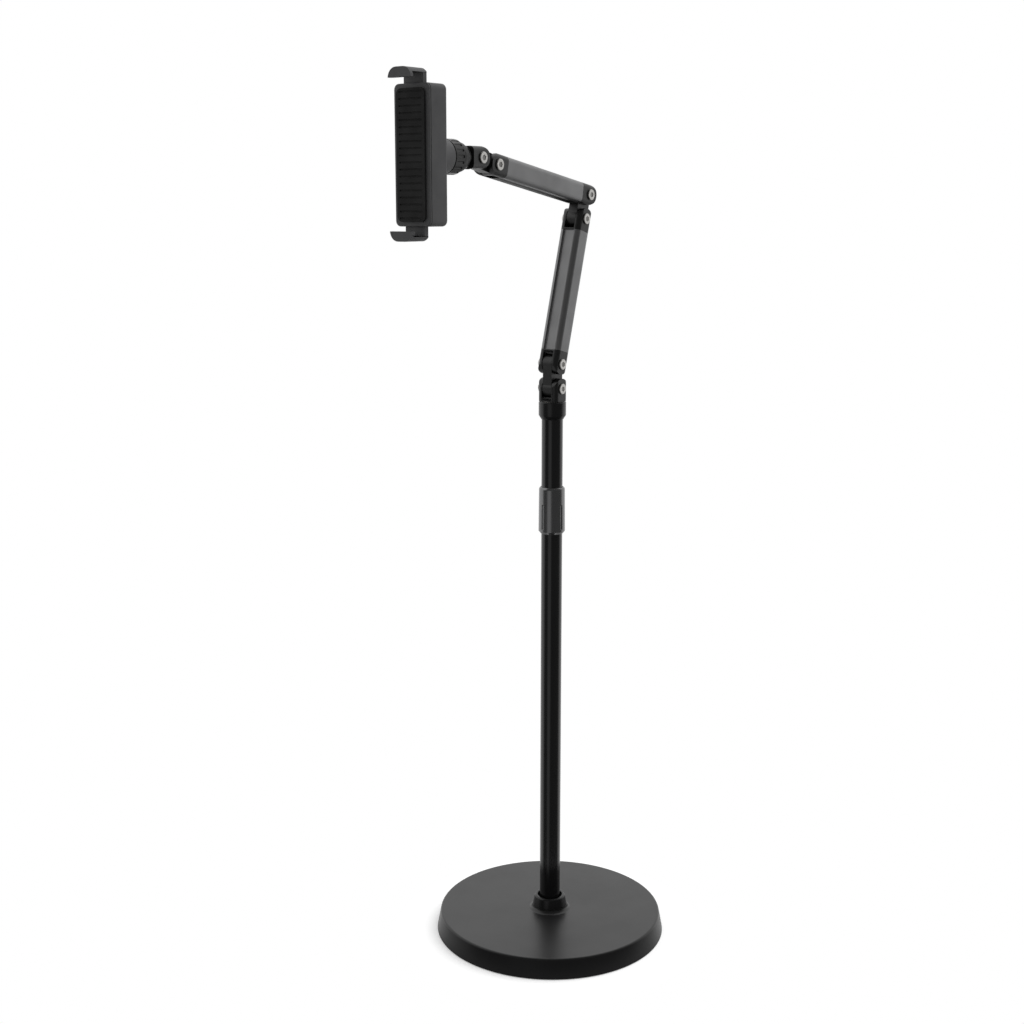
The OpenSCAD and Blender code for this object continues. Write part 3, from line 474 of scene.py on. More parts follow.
def soften(piece, width, steps=2):
    """Rounds the sharp edges of a piece a little, which very short edges on it can keep from showing."""
    modify(
        piece, "BEVEL", width=width, segments=steps, limit_method="ANGLE", angle_limit=SOFTEN_ANGLE,
        miter_outer="MITER_ARC",
    )


def copy_of(piece, name):
    """Copies a piece with its own mesh."""
    only(piece)
    bpy.ops.object.duplicate(linked=False)
    copy = bpy.context.active_object
    copy.name = name
    copy.data.name = name
    return copy


def place(piece, pivot, lean, spin=0.0):
    """Moves a piece drawn at the origin to a pivot, leaning forward, and applies that to its mesh."""
    only(piece)
    turn = Matrix.Rotation(lean, 4, "X") @ Matrix.Rotation(spin, 4, "Z")
    piece.matrix_world = Matrix.Translation(pivot) @ turn
    bpy.ops.object.transform_apply(location=True, rotation=True, scale=True)


def finish(piece, body, nodes, slot, look=None):
    """Cleans a piece, gives it its finish and hangs it on the body of the solids that it stands for."""
    open_mesh(piece)
    bpy.ops.mesh.select_all(action="SELECT")
    bpy.ops.mesh.remove_doubles(threshold=MERGE)
    bpy.ops.mesh.normals_make_consistent(inside=False)
    close_mesh()
    bpy.ops.object.shade_smooth_by_angle(angle=SHARP_ANGLE)
    modify(piece, "WEIGHTED_NORMAL", keep_sharp=True)
    piece.data.materials.clear()
    piece.data.materials.append(LOOKS[look or slot])
    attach(piece, body)
    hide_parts(*nodes)


def set_copies(pattern, slot, spots):
    """Sets a finished copy of a pattern at each spot and removes the pattern."""
    for node, body, pivot, lean, *look in spots:
        piece = copy_of(pattern, node + "_dressed")
        place(piece, pivot, lean)
        finish(piece, body, [node], slot, *look)
    bpy.data.objects.remove(pattern, do_unlink=True)


# Finishes

LOOKS = {}
# Noise has most of its values between these
NOISE_LOW = 0.3
NOISE_HIGH = 0.7
# Smudges are finer than patches of colour, and change the roughness by this share
SMUDGE_SCALE = 2.3
SMUDGE = 0.12
# Noise is scaled down along an arm, which draws it out into lines
DRAWN_SCALE = (1, 1, 0.02)


def noise(tree, coords, scale, detail):
    """A noise texture's value."""
    node = tree.nodes.new("ShaderNodeTexNoise")
    node.inputs["Scale"].default_value = scale
    node.inputs["Detail"].default_value = detail
    tree.links.new(coords, node.inputs["Vector"])
    return node.outputs["Fac"]


def ranged(tree, value, start, end, first, last):
    """A node that takes a value from one range to another."""
    node = tree.nodes.new("ShaderNodeMapRange")
    for name, level in (("From Min", start), ("From Max", end), ("To Min", first), ("To Max", last)):
        node.inputs[name].default_value = level
    tree.links.new(value, node.inputs["Value"])
    return node


def shades(tree, value, dark, light):
    """A colour between two shades."""
    node = tree.nodes.new("ShaderNodeValToRGB")
    node.color_ramp.elements[0].position = NOISE_LOW
    node.color_ramp.elements[0].color = (*dark, 1)
    node.color_ramp.elements[1].position = NOISE_HIGH
    node.color_ramp.elements[1].color = (*light, 1)
    tree.links.new(value, node.inputs["Fac"])
    return node.outputs["Color"]


def relief(tree, shader, height, deep, under=None):
    """A bump of a real depth, on top of another where there is one."""
    node = tree.nodes.new("ShaderNodeBump")
    node.inputs["Strength"].default_value = 1.0
    node.inputs["Distance"].default_value = deep
    tree.links.new(height, node.inputs["Height"])
    if under is not None:
        tree.links.new(under, node.inputs["Normal"])
    tree.links.new(node.outputs["Normal"], shader.inputs["Normal"])
    return node.outputs["Normal"]


def surface(name, tone, roughness, grain, deep, metallic=0.0, varied=0.12, patch=28, specular=0.5):
    """A finish with patchy colour and roughness and a fine raised grain, as paint and mouldings have."""
    material = bpy.data.materials.new(name)
    material.use_nodes = True
    tree = material.node_tree
    shader = tree.nodes["Principled BSDF"]
    coords = tree.nodes.new("ShaderNodeTexCoord").outputs["Object"]
    shader.inputs["Metallic"].default_value = metallic
    shader.inputs["Specular IOR Level"].default_value = specular
    patches = noise(tree, coords, patch, detail=4)
    dark = [part * (1 - varied) for part in tone]
    light = [part * (1 + varied) for part in tone]
    tree.links.new(shades(tree, patches, dark, light), shader.inputs["Base Color"])
    smudges = noise(tree, coords, patch * SMUDGE_SCALE, detail=5)
    smooth, rough = roughness * (1 - SMUDGE), roughness * (1 + SMUDGE)
    smudged = ranged(tree, smudges, NOISE_LOW, NOISE_HIGH, smooth, rough)
    tree.links.new(smudged.outputs["Result"], shader.inputs["Roughness"])
    relief(tree, shader, noise(tree, coords, grain, detail=2), deep)
    return material


def anodised(name, tone, lean):
    """Anodised aluminium with fine drawn lines along an arm that leans."""
    material = surface(
        name, tone, roughness=0.42, grain=2400, deep=0.000012, metallic=0.9, varied=0.05, patch=18
    )
    tree = material.node_tree
    shader = tree.nodes["Principled BSDF"]
    coords = tree.nodes.new("ShaderNodeTexCoord").outputs["Object"]
    along = tree.nodes.new("ShaderNodeMapping")
    along.inputs["Rotation"].default_value = (-lean, 0, 0)
    tree.links.new(coords, along.inputs["Vector"])
    drawn = tree.nodes.new("ShaderNodeVectorMath")
    drawn.operation = "MULTIPLY"
    drawn.inputs[1].default_value = DRAWN_SCALE
    tree.links.new(along.outputs["Vector"], drawn.inputs[0])
    lines = noise(tree, drawn.outputs["Vector"], scale=1300, detail=3)
    grain = shader.inputs["Normal"].links[0].from_socket
    relief(tree, shader, lines, deep=0.00002, under=grain)
    return material


def rising(tree, axis, start, end, first, last):
    """A value that goes from first to last between two places along an axis."""
    parts = tree.nodes.new("ShaderNodeSeparateXYZ")
    tree.links.new(tree.nodes.new("ShaderNodeTexCoord").outputs["Object"], parts.inputs["Vector"])
    return ranged(tree, parts.outputs[axis], start, end, first, last).outputs["Result"]


def dull_side(material, foot, head, dull):
    """Makes a finish less shiny below a height, as on a side that is painted but not polished."""
    tree = material.node_tree
    shine = tree.nodes["Principled BSDF"].inputs["Specular IOR Level"]
    tree.links.new(rising(tree, "Z", foot, head, dull, shine.default_value), shine)


def paint_socket_shade(material, floor, face, share):
    """Paints a socket's shade into a finish's colour, darker below a bolt head's face."""
    tree = material.node_tree
    tone = tree.nodes["Principled BSDF"].inputs["Base Color"]
    shade = tree.nodes.new("ShaderNodeVectorMath")
    shade.operation = "SCALE"
    tree.links.new(tone.links[0].from_socket, shade.inputs[0])
    tree.links.new(rising(tree, "X", floor, face, share, 1.0), shade.inputs["Scale"])
    tree.links.new(shade.outputs["Vector"], tone)


def finishes(colours):
    """Makes all finishes once and keeps each under its name."""
    if LOOKS:
        return
    LOOKS["base_paint"] = surface(
        "base_satin", colours.base, roughness=0.33, grain=1600, deep=0.00001, varied=0.05, patch=9
    )
    LOOKS["tube_paint"] = surface(
        "tube_satin", colours.tube, roughness=0.20, grain=1100, deep=0.00001, varied=0.10, patch=22
    )
    LOOKS["black_plastic"] = surface(
        "collar_moulded", colours.black, roughness=0.26, grain=2100, deep=0.00001, varied=0.10, specular=0.4
    )
    LOOKS["sleeve_alloy"] = surface(
        "sleeve_anodised", colours.sleeve, roughness=0.23, grain=1800, deep=0.000002, metallic=0.9,
        varied=0.03,
    )
    LOOKS["holder_plastic"] = surface(
        "holder_moulded", colours.holder, roughness=0.55, grain=1700, deep=0.00004, varied=0.08
    )
    LOOKS["cast_knuckle"] = surface(
        "knuckle_cast", colours.knuckle, roughness=0.40, grain=1300, deep=0.00003, specular=0.6
    )
    # The pivot bolts get a copy of the bright steel, which has shade painted in its sockets
    for slot, name in (("bolt_steel", "steel_bright"), ("socket_shaded_steel", "steel_pivot")):
        LOOKS[slot] = surface(
            name, colours.steel, roughness=0.34, grain=3000, deep=0.000006, metallic=1.0, varied=0.06,
            patch=160,
        )
    LOOKS["tube_steel"] = surface(
        "steel_tube", colours.tube_steel, roughness=0.22, grain=900, deep=0.000004, metallic=1.0, varied=0.04
    )
    LOOKS["iron"] = surface(
        "iron_cast", colours.iron, roughness=0.7, grain=700, deep=0.00008, metallic=0.3
    )
    LOOKS["rubber"] = surface(
        "rubber_matt", colours.rubber, roughness=0.75, grain=1500, deep=0.00003, varied=0.15, specular=0.3
    )
    LOOKS["nylon"] = surface(
        "nylon_plain", colours.nylon, roughness=0.45, grain=1200, deep=0.00001, varied=0.05
    )
    LOOKS["anodised_lower"] = anodised("anodised_lower", colours.arm, LOWER_LEAN)
    LOOKS["anodised_upper"] = anodised("anodised_upper", colours.arm, UPPER_LEAN)


# Operators

# Shine of the base's side, and how far below the top the full shine starts
SIDE_SHINE = 0.1
SIDE_BLEND = 0.0002


class STAND_OT_base(bpy.types.Operator):
    """Models the base's cover, floor pad and hub"""

    bl_idname = "stand.base"
    bl_label = "Base"

    def execute(self, context):
        sizes = context.scene.stand_base
        finishes(context.scene.stand_colours)
        dull_side(LOOKS["base_paint"], sizes.top - sizes.edge, sizes.top - SIDE_BLEND, SIDE_SHINE)
        self.model_cover(sizes)
        self.model_pad(sizes)
        self.model_hub(sizes, context.scene.stand_pole.radius)
        return {"FINISHED"}

    def model_cover(self, sizes):
        top_radius = sizes.radius - sizes.lean_in
        fillet = sizes.boss_top - sizes.top
        inner_top = sizes.top - sizes.wall
        profile = [(sizes.radius - sizes.wall, sizes.rim), (sizes.radius, sizes.rim)]
        edge_centre = (top_radius - sizes.edge, sizes.top - sizes.edge)
        profile += arc(edge_centre, sizes.edge, first=10, last=90, steps=6)
        profile += arc((sizes.boss + fillet, sizes.boss_top), fillet, first=270, last=180, steps=10)
        profile += [
            (sizes.hole, sizes.boss_top), (sizes.hole, inner_top), (top_radius - sizes.wall, inner_top),
        ]
        cover = turned("base_cover_dressed", profile, sides=192)
        finish(cover, "stand", ["base_cover"], "base_paint")

    def model_pad(self, sizes):
        deep, mouth, bed = sizes.pad_groove, sizes.ring_mouth, sizes.ring_bed
        profile = [(sizes.pad_hole, sizes.pad_top), (sizes.pad_hole, 0)]
        for step in range(sizes.pad_rings):
            centre = sizes.pad_radius * (step + 1) / (sizes.pad_rings + 1)
            profile += [(centre - mouth, 0), (centre - bed, deep), (centre + bed, deep), (centre + mouth, 0)]
        profile += [(sizes.pad_radius - deep, 0), (sizes.pad_radius, deep), (sizes.pad_radius, sizes.pad_top)]
        pad = turned("floor_pad", profile, sides=128)
        finish(pad, "stand", ["base_pad"], "rubber")

    def model_hub(self, sizes, pole_radius):
        recess = pole_radius + sizes.recess_wide
        floor = sizes.hub_top - sizes.recess_deep
        profile = [
            (sizes.hole, sizes.boss_top),
            (sizes.hub_foot, sizes.boss_top),
            (sizes.hub_rim, sizes.hub_top - sizes.hub_chamfer),
            (sizes.hub_rim - sizes.hub_chamfer, sizes.hub_top),
            (recess, sizes.hub_top),
            (recess, floor),
            (sizes.hole, floor),
        ]
        hub = turned("hub", profile)
        soften(hub, width=0.0003)
        finish(hub, "stand", ["base_hub"], "black_plastic")


class STAND_OT_pole(bpy.types.Operator):
    """Models the three tubes and the collar on the pole"""

    bl_idname = "stand.pole"
    bl_label = "Pole"

    def execute(self, context):
        sizes = context.scene.stand_pole
        finishes(context.scene.stand_colours)
        self.model_tube(sizes, "lower_tube", "stand", sizes.radius, "tube_paint")
        self.model_tube(sizes, "upper_tube", "mast", sizes.radius, "tube_paint")
        self.model_tube(sizes, "inner_tube", "mast", sizes.inner_radius, "tube_steel")
        self.model_collar(sizes)
        return {"FINISHED"}

    def model_tube(self, sizes, node, body, radius, slot):
        profile = ring_profile(radius - sizes.wall, radius, low(node, 2), high(node, 2), sizes.end_chamfer)
        tube = turned(node + "_dressed", profile, sides=128)
        finish(tube, body, [node], slot)

    def model_collar(self, sizes):
        foot, head = low("mast_cap", 2), high("mast_cap", 2)
        profile = [
            (sizes.radius, foot),
            (sizes.radius + sizes.collar_lip, foot),
            (sizes.collar_radius, foot + sizes.collar_chamfer),
            (sizes.collar_radius, head - sizes.collar_bevel),
            (sizes.collar_radius - sizes.collar_bevel, head),
            (sizes.collar_bore, head),
            (sizes.collar_bore, head - sizes.collar_plate),
            (sizes.radius, head - sizes.collar_plate),
        ]
        collar = turned("pole_collar", profile)
        soften(collar, width=0.0003)
        finish(collar, "mast", ["mast_cap"], "black_plastic")


# Share of a flute's radius by which its ends are rounded
FLUTE_END = 0.6


def is_level(edge):
    """Whether an edge lies level."""
    return abs(edge.verts[1].co.z - edge.verts[0].co.z) < MERGE


def fluted(piece, count, radius, centre_radius, foot, head, first=0.0):
    """Cuts round-ended flutes into the side of a turned piece."""
    flutes = []
    for step in range(count):
        turn = first + 2 * math.pi * step / count
        at = (centre_radius * math.cos(turn), centre_radius * math.sin(turn))
        flute = add_rod(f"flute_{step}", radius, (*at, foot), (*at, head), sides=32)
        round_edges(flute, is_level, radius * FLUTE_END, steps=4)
        flutes.append(flute)
    only(flutes[0])
    for flute in flutes:
        flute.select_set(True)
    bpy.ops.object.join()
    combine(piece, flutes[0], "DIFFERENCE")


class STAND_OT_sleeve(bpy.types.Operator):
    """Models the fluted twist-lock sleeve"""

    bl_idname = "stand.sleeve"
    bl_label = "Twist-lock sleeve"

    def execute(self, context):
        sizes = context.scene.stand_pole
        finishes(context.scene.stand_colours)
        foot, head, slope = low("lock_sleeve", 2), high("lock_sleeve", 2), sizes.sleeve_chamfer
        edge = sizes.radius + sizes.sleeve_rim
        bore = sizes.radius + RUN_GAP
        profile = [
            (bore, foot),
            (edge, foot),
            (sizes.sleeve_radius + sizes.sleeve_flare, foot + slope),
            (sizes.sleeve_radius, head - slope),
            (sizes.sleeve_radius - sizes.sleeve_drop, head - slope / 2),
            (edge, head),
            (sizes.radius + FREE_GAP, head),
        ]
        sleeve = turned("twist_sleeve", profile, sides=120)
        centre_radius = sizes.sleeve_radius + sizes.flute_radius - sizes.flute_deep
        flute_foot = foot + slope + SPARE
        flute_head = flute_foot + (head - foot) * sizes.flute_share
        fluted(
            sleeve, sizes.flutes, sizes.flute_radius, centre_radius, flute_foot, flute_head, sizes.flute_turn
        )
        soften(sleeve, width=0.0003)
        finish(sleeve, "lock_sleeve", ["lock_sleeve"], "sleeve_alloy")
        return {"FINISHED"}


def model_fork(sizes):
    """A fork at the origin: two ears with a half-round end, a slot and a seat for the nut."""
    wide, deep = sizes.width / 2, sizes.depth / 2
    fork = add_block("fork", (-wide, -deep, -deep), (wide, deep, sizes.reach))
    round_edges(fork, upright, sizes.edge, steps=8)
    outline = add_block(
        "fork_outline", (-wide - SPARE, -deep, -deep), (wide + SPARE, deep, sizes.reach + SPARE)
    )
    round_edges(outline, lambda edge: runs_along(edge, 0) and middle(edge).z < 0, deep, steps=18)
    combine(fork, outline, "INTERSECT")
    gap = sizes.slot / 2
    slot = add_block("fork_slot", (-gap, -sizes.depth, -sizes.depth), (gap, sizes.depth, sizes.slot_floor))
    combine(fork, slot, "DIFFERENCE")
    seat_radius = hex_radius(sizes.nut) + FREE_GAP
    seat = add_rod("nut_seat", seat_radius, (-wide - SPARE, 0, 0), (-wide + sizes.nut_sunk, 0, 0), sides=6)
    combine(fork, seat, "DIFFERENCE")
    return fork


class STAND_OT_forks(bpy.types.Operator):
    """Models a fork once and sets it on the collar and on both ends of each arm"""

    bl_idname = "stand.forks"
    bl_label = "Forks"

    def execute(self, context):
        sizes = context.scene.stand_arm
        finishes(context.scene.stand_colours)
        pattern = model_fork(sizes)
        soften(pattern, sizes.soft_edge)
        spots = [
            ("swivel_fork", "swivel", COLLAR_PIVOT, math.pi),
            ("lower_foot_fork", "lower_arm", FOOT_PIVOT, LOWER_LEAN),
            ("lower_head_fork", "lower_arm", ELBOW_LOW_PIVOT, LOWER_LEAN + math.pi),
            ("upper_elbow_fork", "upper_arm", ELBOW_HIGH_PIVOT, UPPER_LEAN),
            ("upper_wrist_fork", "upper_arm", WRIST_PIVOT, UPPER_LEAN + math.pi),
        ]
        set_copies(pattern, "cast_knuckle", spots)
        return {"FINISHED"}


class STAND_OT_links(bpy.types.Operator):
    """Models a double-eyed link once and sets it at the shoulder, elbow and wrist"""

    bl_idname = "stand.links"
    bl_label = "Links"

    def execute(self, context):
        sizes = context.scene.stand_arm
        finishes(context.scene.stand_colours)
        pattern = self.model_link(sizes)
        spots = [
            ("shoulder_link", "shoulder", COLLAR_PIVOT, 0.0),
            ("elbow_link", "elbow", ELBOW_LOW_PIVOT, ELBOW_LEAN),
            ("wrist_link", "wrist", WRIST_PIVOT, WRIST_LEAN),
        ]
        set_copies(pattern, "cast_knuckle", spots)
        return {"FINISHED"}

    def model_link(self, sizes):
        half = sizes.link_thick / 2
        pitch = sizes.link_pitch
        link = add_rod("link", sizes.eye, (-half, 0, 0), (half, 0, 0), sides=72)
        side = sizes.waist / 2
        combine(link, add_block("link_middle", (-half, -side, 0), (half, side, pitch)), "UNION")
        combine(link, add_rod("link_eye", sizes.eye, (-half, 0, pitch), (half, 0, pitch), sides=72), "UNION")
        bore = sizes.pin / 2 + sizes.play
        for at in (0, pitch):
            tool = add_rod("link_bore", bore, (-half - SPARE, 0, at), (half + SPARE, 0, at), sides=48)
            combine(link, tool, "DIFFERENCE")
        soften(link, sizes.soft_edge)
        return link


class STAND_OT_beams(bpy.types.Operator):
    """Models the grooved arm extrusion once and sets it in both arms"""

    bl_idname = "stand.beams"
    bl_label = "Arm extrusions"

    def execute(self, context):
        sizes = context.scene.stand_arm
        finishes(context.scene.stand_colours)
        pattern = self.model_beam(sizes)
        spots = [
            ("lower_beam", "lower_arm", FOOT_PIVOT, LOWER_LEAN, "anodised_lower"),
            ("upper_beam", "upper_arm", ELBOW_HIGH_PIVOT, UPPER_LEAN, "anodised_upper"),
        ]
        set_copies(pattern, "anodised_arm", spots)
        return {"FINISHED"}

    def model_beam(self, sizes):
        wide, deep = sizes.width / 2, sizes.depth / 2
        foot, head = sizes.reach, sizes.pitch - sizes.reach
        beam = add_block("beam", (-wide, -deep, foot), (wide, deep, head))
        round_edges(beam, upright, sizes.edge, steps=8)
        half = sizes.groove_wide / 2
        for way in (-1, 1):
            near, far = way * (deep - sizes.groove_deep), way * (deep + sizes.groove_deep)
            groove = add_block(
                "groove", (-half, min(near, far), foot - SPARE), (half, max(near, far), head + SPARE)
            )
            round_edges(groove, upright, sizes.groove_round, steps=5)
            combine(beam, groove, "DIFFERENCE")
        soften(beam, width=0.0004)
        return beam


# How far the bolts are turned, in radians, and the share of the steel's tone left where shade is painted in
# their sockets
SOCKET_TURN = 0.3
SOCKET_SHADE = 0.4
# A socket's floor and where its painted shade starts and ends, as shares of the head's height
SOCKET_FLOOR = 0.7
SHADE_START = 0.75
SHADE_END = 0.86
# A nut's crown and locking collar, as shares of its width and of the collar's height
NUT_CROWN = 0.46
NUT_COLLAR = 0.43
NUT_COLLAR_TOP = 0.37
NUT_COLLAR_BEND = 0.4
# How tall the slope of a nut's crown is, and how far it runs out past the corners
CROWN_TALL = 0.001
CROWN_OUT = 0.0004


class STAND_OT_fasteners(bpy.types.Operator):
    """Models a pivot bolt and a lock nut once and sets them at all six pivots"""

    bl_idname = "stand.fasteners"
    bl_label = "Pivot bolts and nuts"

    def execute(self, context):
        sizes = context.scene.stand_arm
        finishes(context.scene.stand_colours)
        seat, tall = sizes.width / 2, sizes.head_tall
        # Shade is painted into the pivot bolts' steel colour, down inside their sockets
        paint_socket_shade(
            LOOKS["socket_shaded_steel"], seat + tall * SHADE_START, seat + tall * SHADE_END, SOCKET_SHADE
        )
        bolt = self.model_bolt(sizes)
        nut = self.model_nut(sizes)
        groups = [
            ("swivel_bolt", "swivel_nut", "swivel", [(COLLAR_PIVOT, 0.0)]),
            (
                "lower_bolts", "lower_nuts", "lower_arm",
                [(FOOT_PIVOT, LOWER_LEAN), (ELBOW_LOW_PIVOT, LOWER_LEAN)],
            ),
            (
                "upper_bolts", "upper_nuts", "upper_arm",
                [(ELBOW_HIGH_PIVOT, UPPER_LEAN), (WRIST_PIVOT, UPPER_LEAN)],
            ),
            ("yoke_bolt", "yoke_nut", "holder_yoke", [(HOLDER_PIVOT, HOLDER_LEAN)]),
        ]
        for bolt_node, nut_node, body, spots in groups:
            for index, (pivot, lean) in enumerate(spots):
                for pattern, node, turn, look in (
                    (bolt, bolt_node, SOCKET_TURN, "socket_shaded_steel"),
                    (nut, nut_node, 0.0, "bolt_steel"),
                ):
                    piece = copy_of(pattern, f"{node}_dressed_{index + 1}")
                    place(piece, pivot, lean + turn)
                    finish(piece, body, [node], "bolt_steel", look)
        bpy.data.objects.remove(bolt, do_unlink=True)
        bpy.data.objects.remove(nut, do_unlink=True)
        return {"FINISHED"}

    def model_bolt(self, sizes):
        seat, tall, radius = sizes.width / 2, sizes.head_tall, sizes.head / 2
        edge = sizes.head_edge
        end = -(seat - sizes.nut_sunk + sizes.nut_tall + sizes.nut_collar)
        pin = sizes.pin / 2
        profile = [
            (pin - sizes.pin_chamfer, end),
            (pin, end + sizes.pin_chamfer),
            (pin, seat),
            (radius - sizes.head_bevel, seat),
            (radius, seat + sizes.head_bevel),
        ]
        profile += arc((radius - edge, seat + tall - edge), edge, first=0, last=90, steps=6)
        bolt = turned("bolt", profile, sides=64, ring=False)
        floor, top = (0, 0, seat + tall * SOCKET_FLOOR), (0, 0, seat + tall + SPARE)
        combine(bolt, add_rod("socket", hex_radius(sizes.socket), floor, top, sides=6), "DIFFERENCE")
        soften(bolt, width=0.0002)
        self.lay_along_x(bolt)
        return bolt

    def model_nut(self, sizes):
        top = -sizes.width / 2 + sizes.nut_sunk
        outer = top - sizes.nut_tall
        corner = hex_radius(sizes.nut)
        nut = add_rod("nut", corner, (0, 0, outer), (0, 0, top), sides=6)
        crown = [
            (sizes.nut * NUT_CROWN, outer),
            (corner + CROWN_OUT, outer + CROWN_TALL),
            (corner + CROWN_OUT, top),
        ]
        combine(nut, turned("nut_crown", crown, sides=64, ring=False), "INTERSECT")
        collar = [
            (sizes.nut * NUT_COLLAR_TOP, outer - sizes.nut_collar),
            (sizes.nut * NUT_COLLAR, outer - sizes.nut_collar * NUT_COLLAR_BEND),
            (sizes.nut * NUT_COLLAR, outer + CROWN_TALL),
        ]
        combine(nut, turned("nut_collar", collar, sides=48, ring=False), "UNION")
        bore = add_rod(
            "nut_bore", sizes.pin / 2 + RUN_GAP, (0, 0, outer - SPARE), (0, 0, top + SPARE), sides=48
        )
        combine(nut, bore, "DIFFERENCE")
        soften(nut, width=0.0002)
        self.lay_along_x(nut)
        return nut

    def lay_along_x(self, piece):
        only(piece)
        piece.matrix_world = Matrix.Rotation(math.pi / 2, 4, "Y") @ Matrix.Rotation(math.pi / 2, 4, "Z")
        bpy.ops.object.transform_apply(location=True, rotation=True, scale=True)


class STAND_OT_yoke(bpy.types.Operator):
    """Models the yoke behind the holder and its fluted clamp ring"""

    bl_idname = "stand.yoke"
    bl_label = "Yoke and clamp ring"

    def execute(self, context):
        sizes = context.scene.stand_holder
        finishes(context.scene.stand_colours)
        self.model_yoke(sizes, context.scene.stand_arm)
        self.model_ring(sizes)
        return {"FINISHED"}

    def model_yoke(self, sizes, arm):
        yoke = model_fork(arm)
        yoke.name = "yoke_dressed"
        edge = sizes.turned_edge
        end = sizes.flange_at + sizes.flange_thick
        profile = [
            (arm.depth / 2 - arm.soft_edge, arm.reach - arm.soft_edge),
            (sizes.flange - edge, sizes.flange_at),
            (sizes.flange, sizes.flange_at + edge),
            (sizes.flange, end - edge),
            (sizes.flange - edge, end),
            (sizes.stem, end),
            (sizes.stem, sizes.stem_end),
        ]
        combine(yoke, turned("yoke_flange", profile, ring=False), "UNION")
        soften(yoke, arm.soft_edge)
        place(yoke, HOLDER_PIVOT, HOLDER_LEAN)
        finish(yoke, "holder_yoke", ["yoke"], "cast_knuckle")

    def model_ring(self, sizes):
        start, end = sizes.ring_at, sizes.ring_at + sizes.ring_long
        profile = ring_profile(sizes.boss + RUN_GAP, sizes.ring, start, end, sizes.turned_edge)
        ring = turned("clamp_ring_dressed", profile, sides=144)
        centre_radius = sizes.ring + sizes.ring_flute - sizes.ring_flute_deep
        fluted(ring, sizes.ring_flutes, sizes.ring_flute, centre_radius, start + SPARE, end - SPARE)
        soften(ring, width=0.00025)
        place(ring, HOLDER_PIVOT, HOLDER_LEAN)
        finish(ring, "clamp_ring", ["clamp_ring"], "black_plastic")


# Share of a pad groove's half width by which its ends are rounded
GROOVE_END = 0.95


def rounded_plate(name, width, height, start, end, corner):
    """A plate across the holder's axis, with rounded corners."""
    plate = add_block(name, (-width / 2, -height / 2, start), (width / 2, height / 2, end))
    round_edges(plate, upright, corner, steps=6)
    return plate


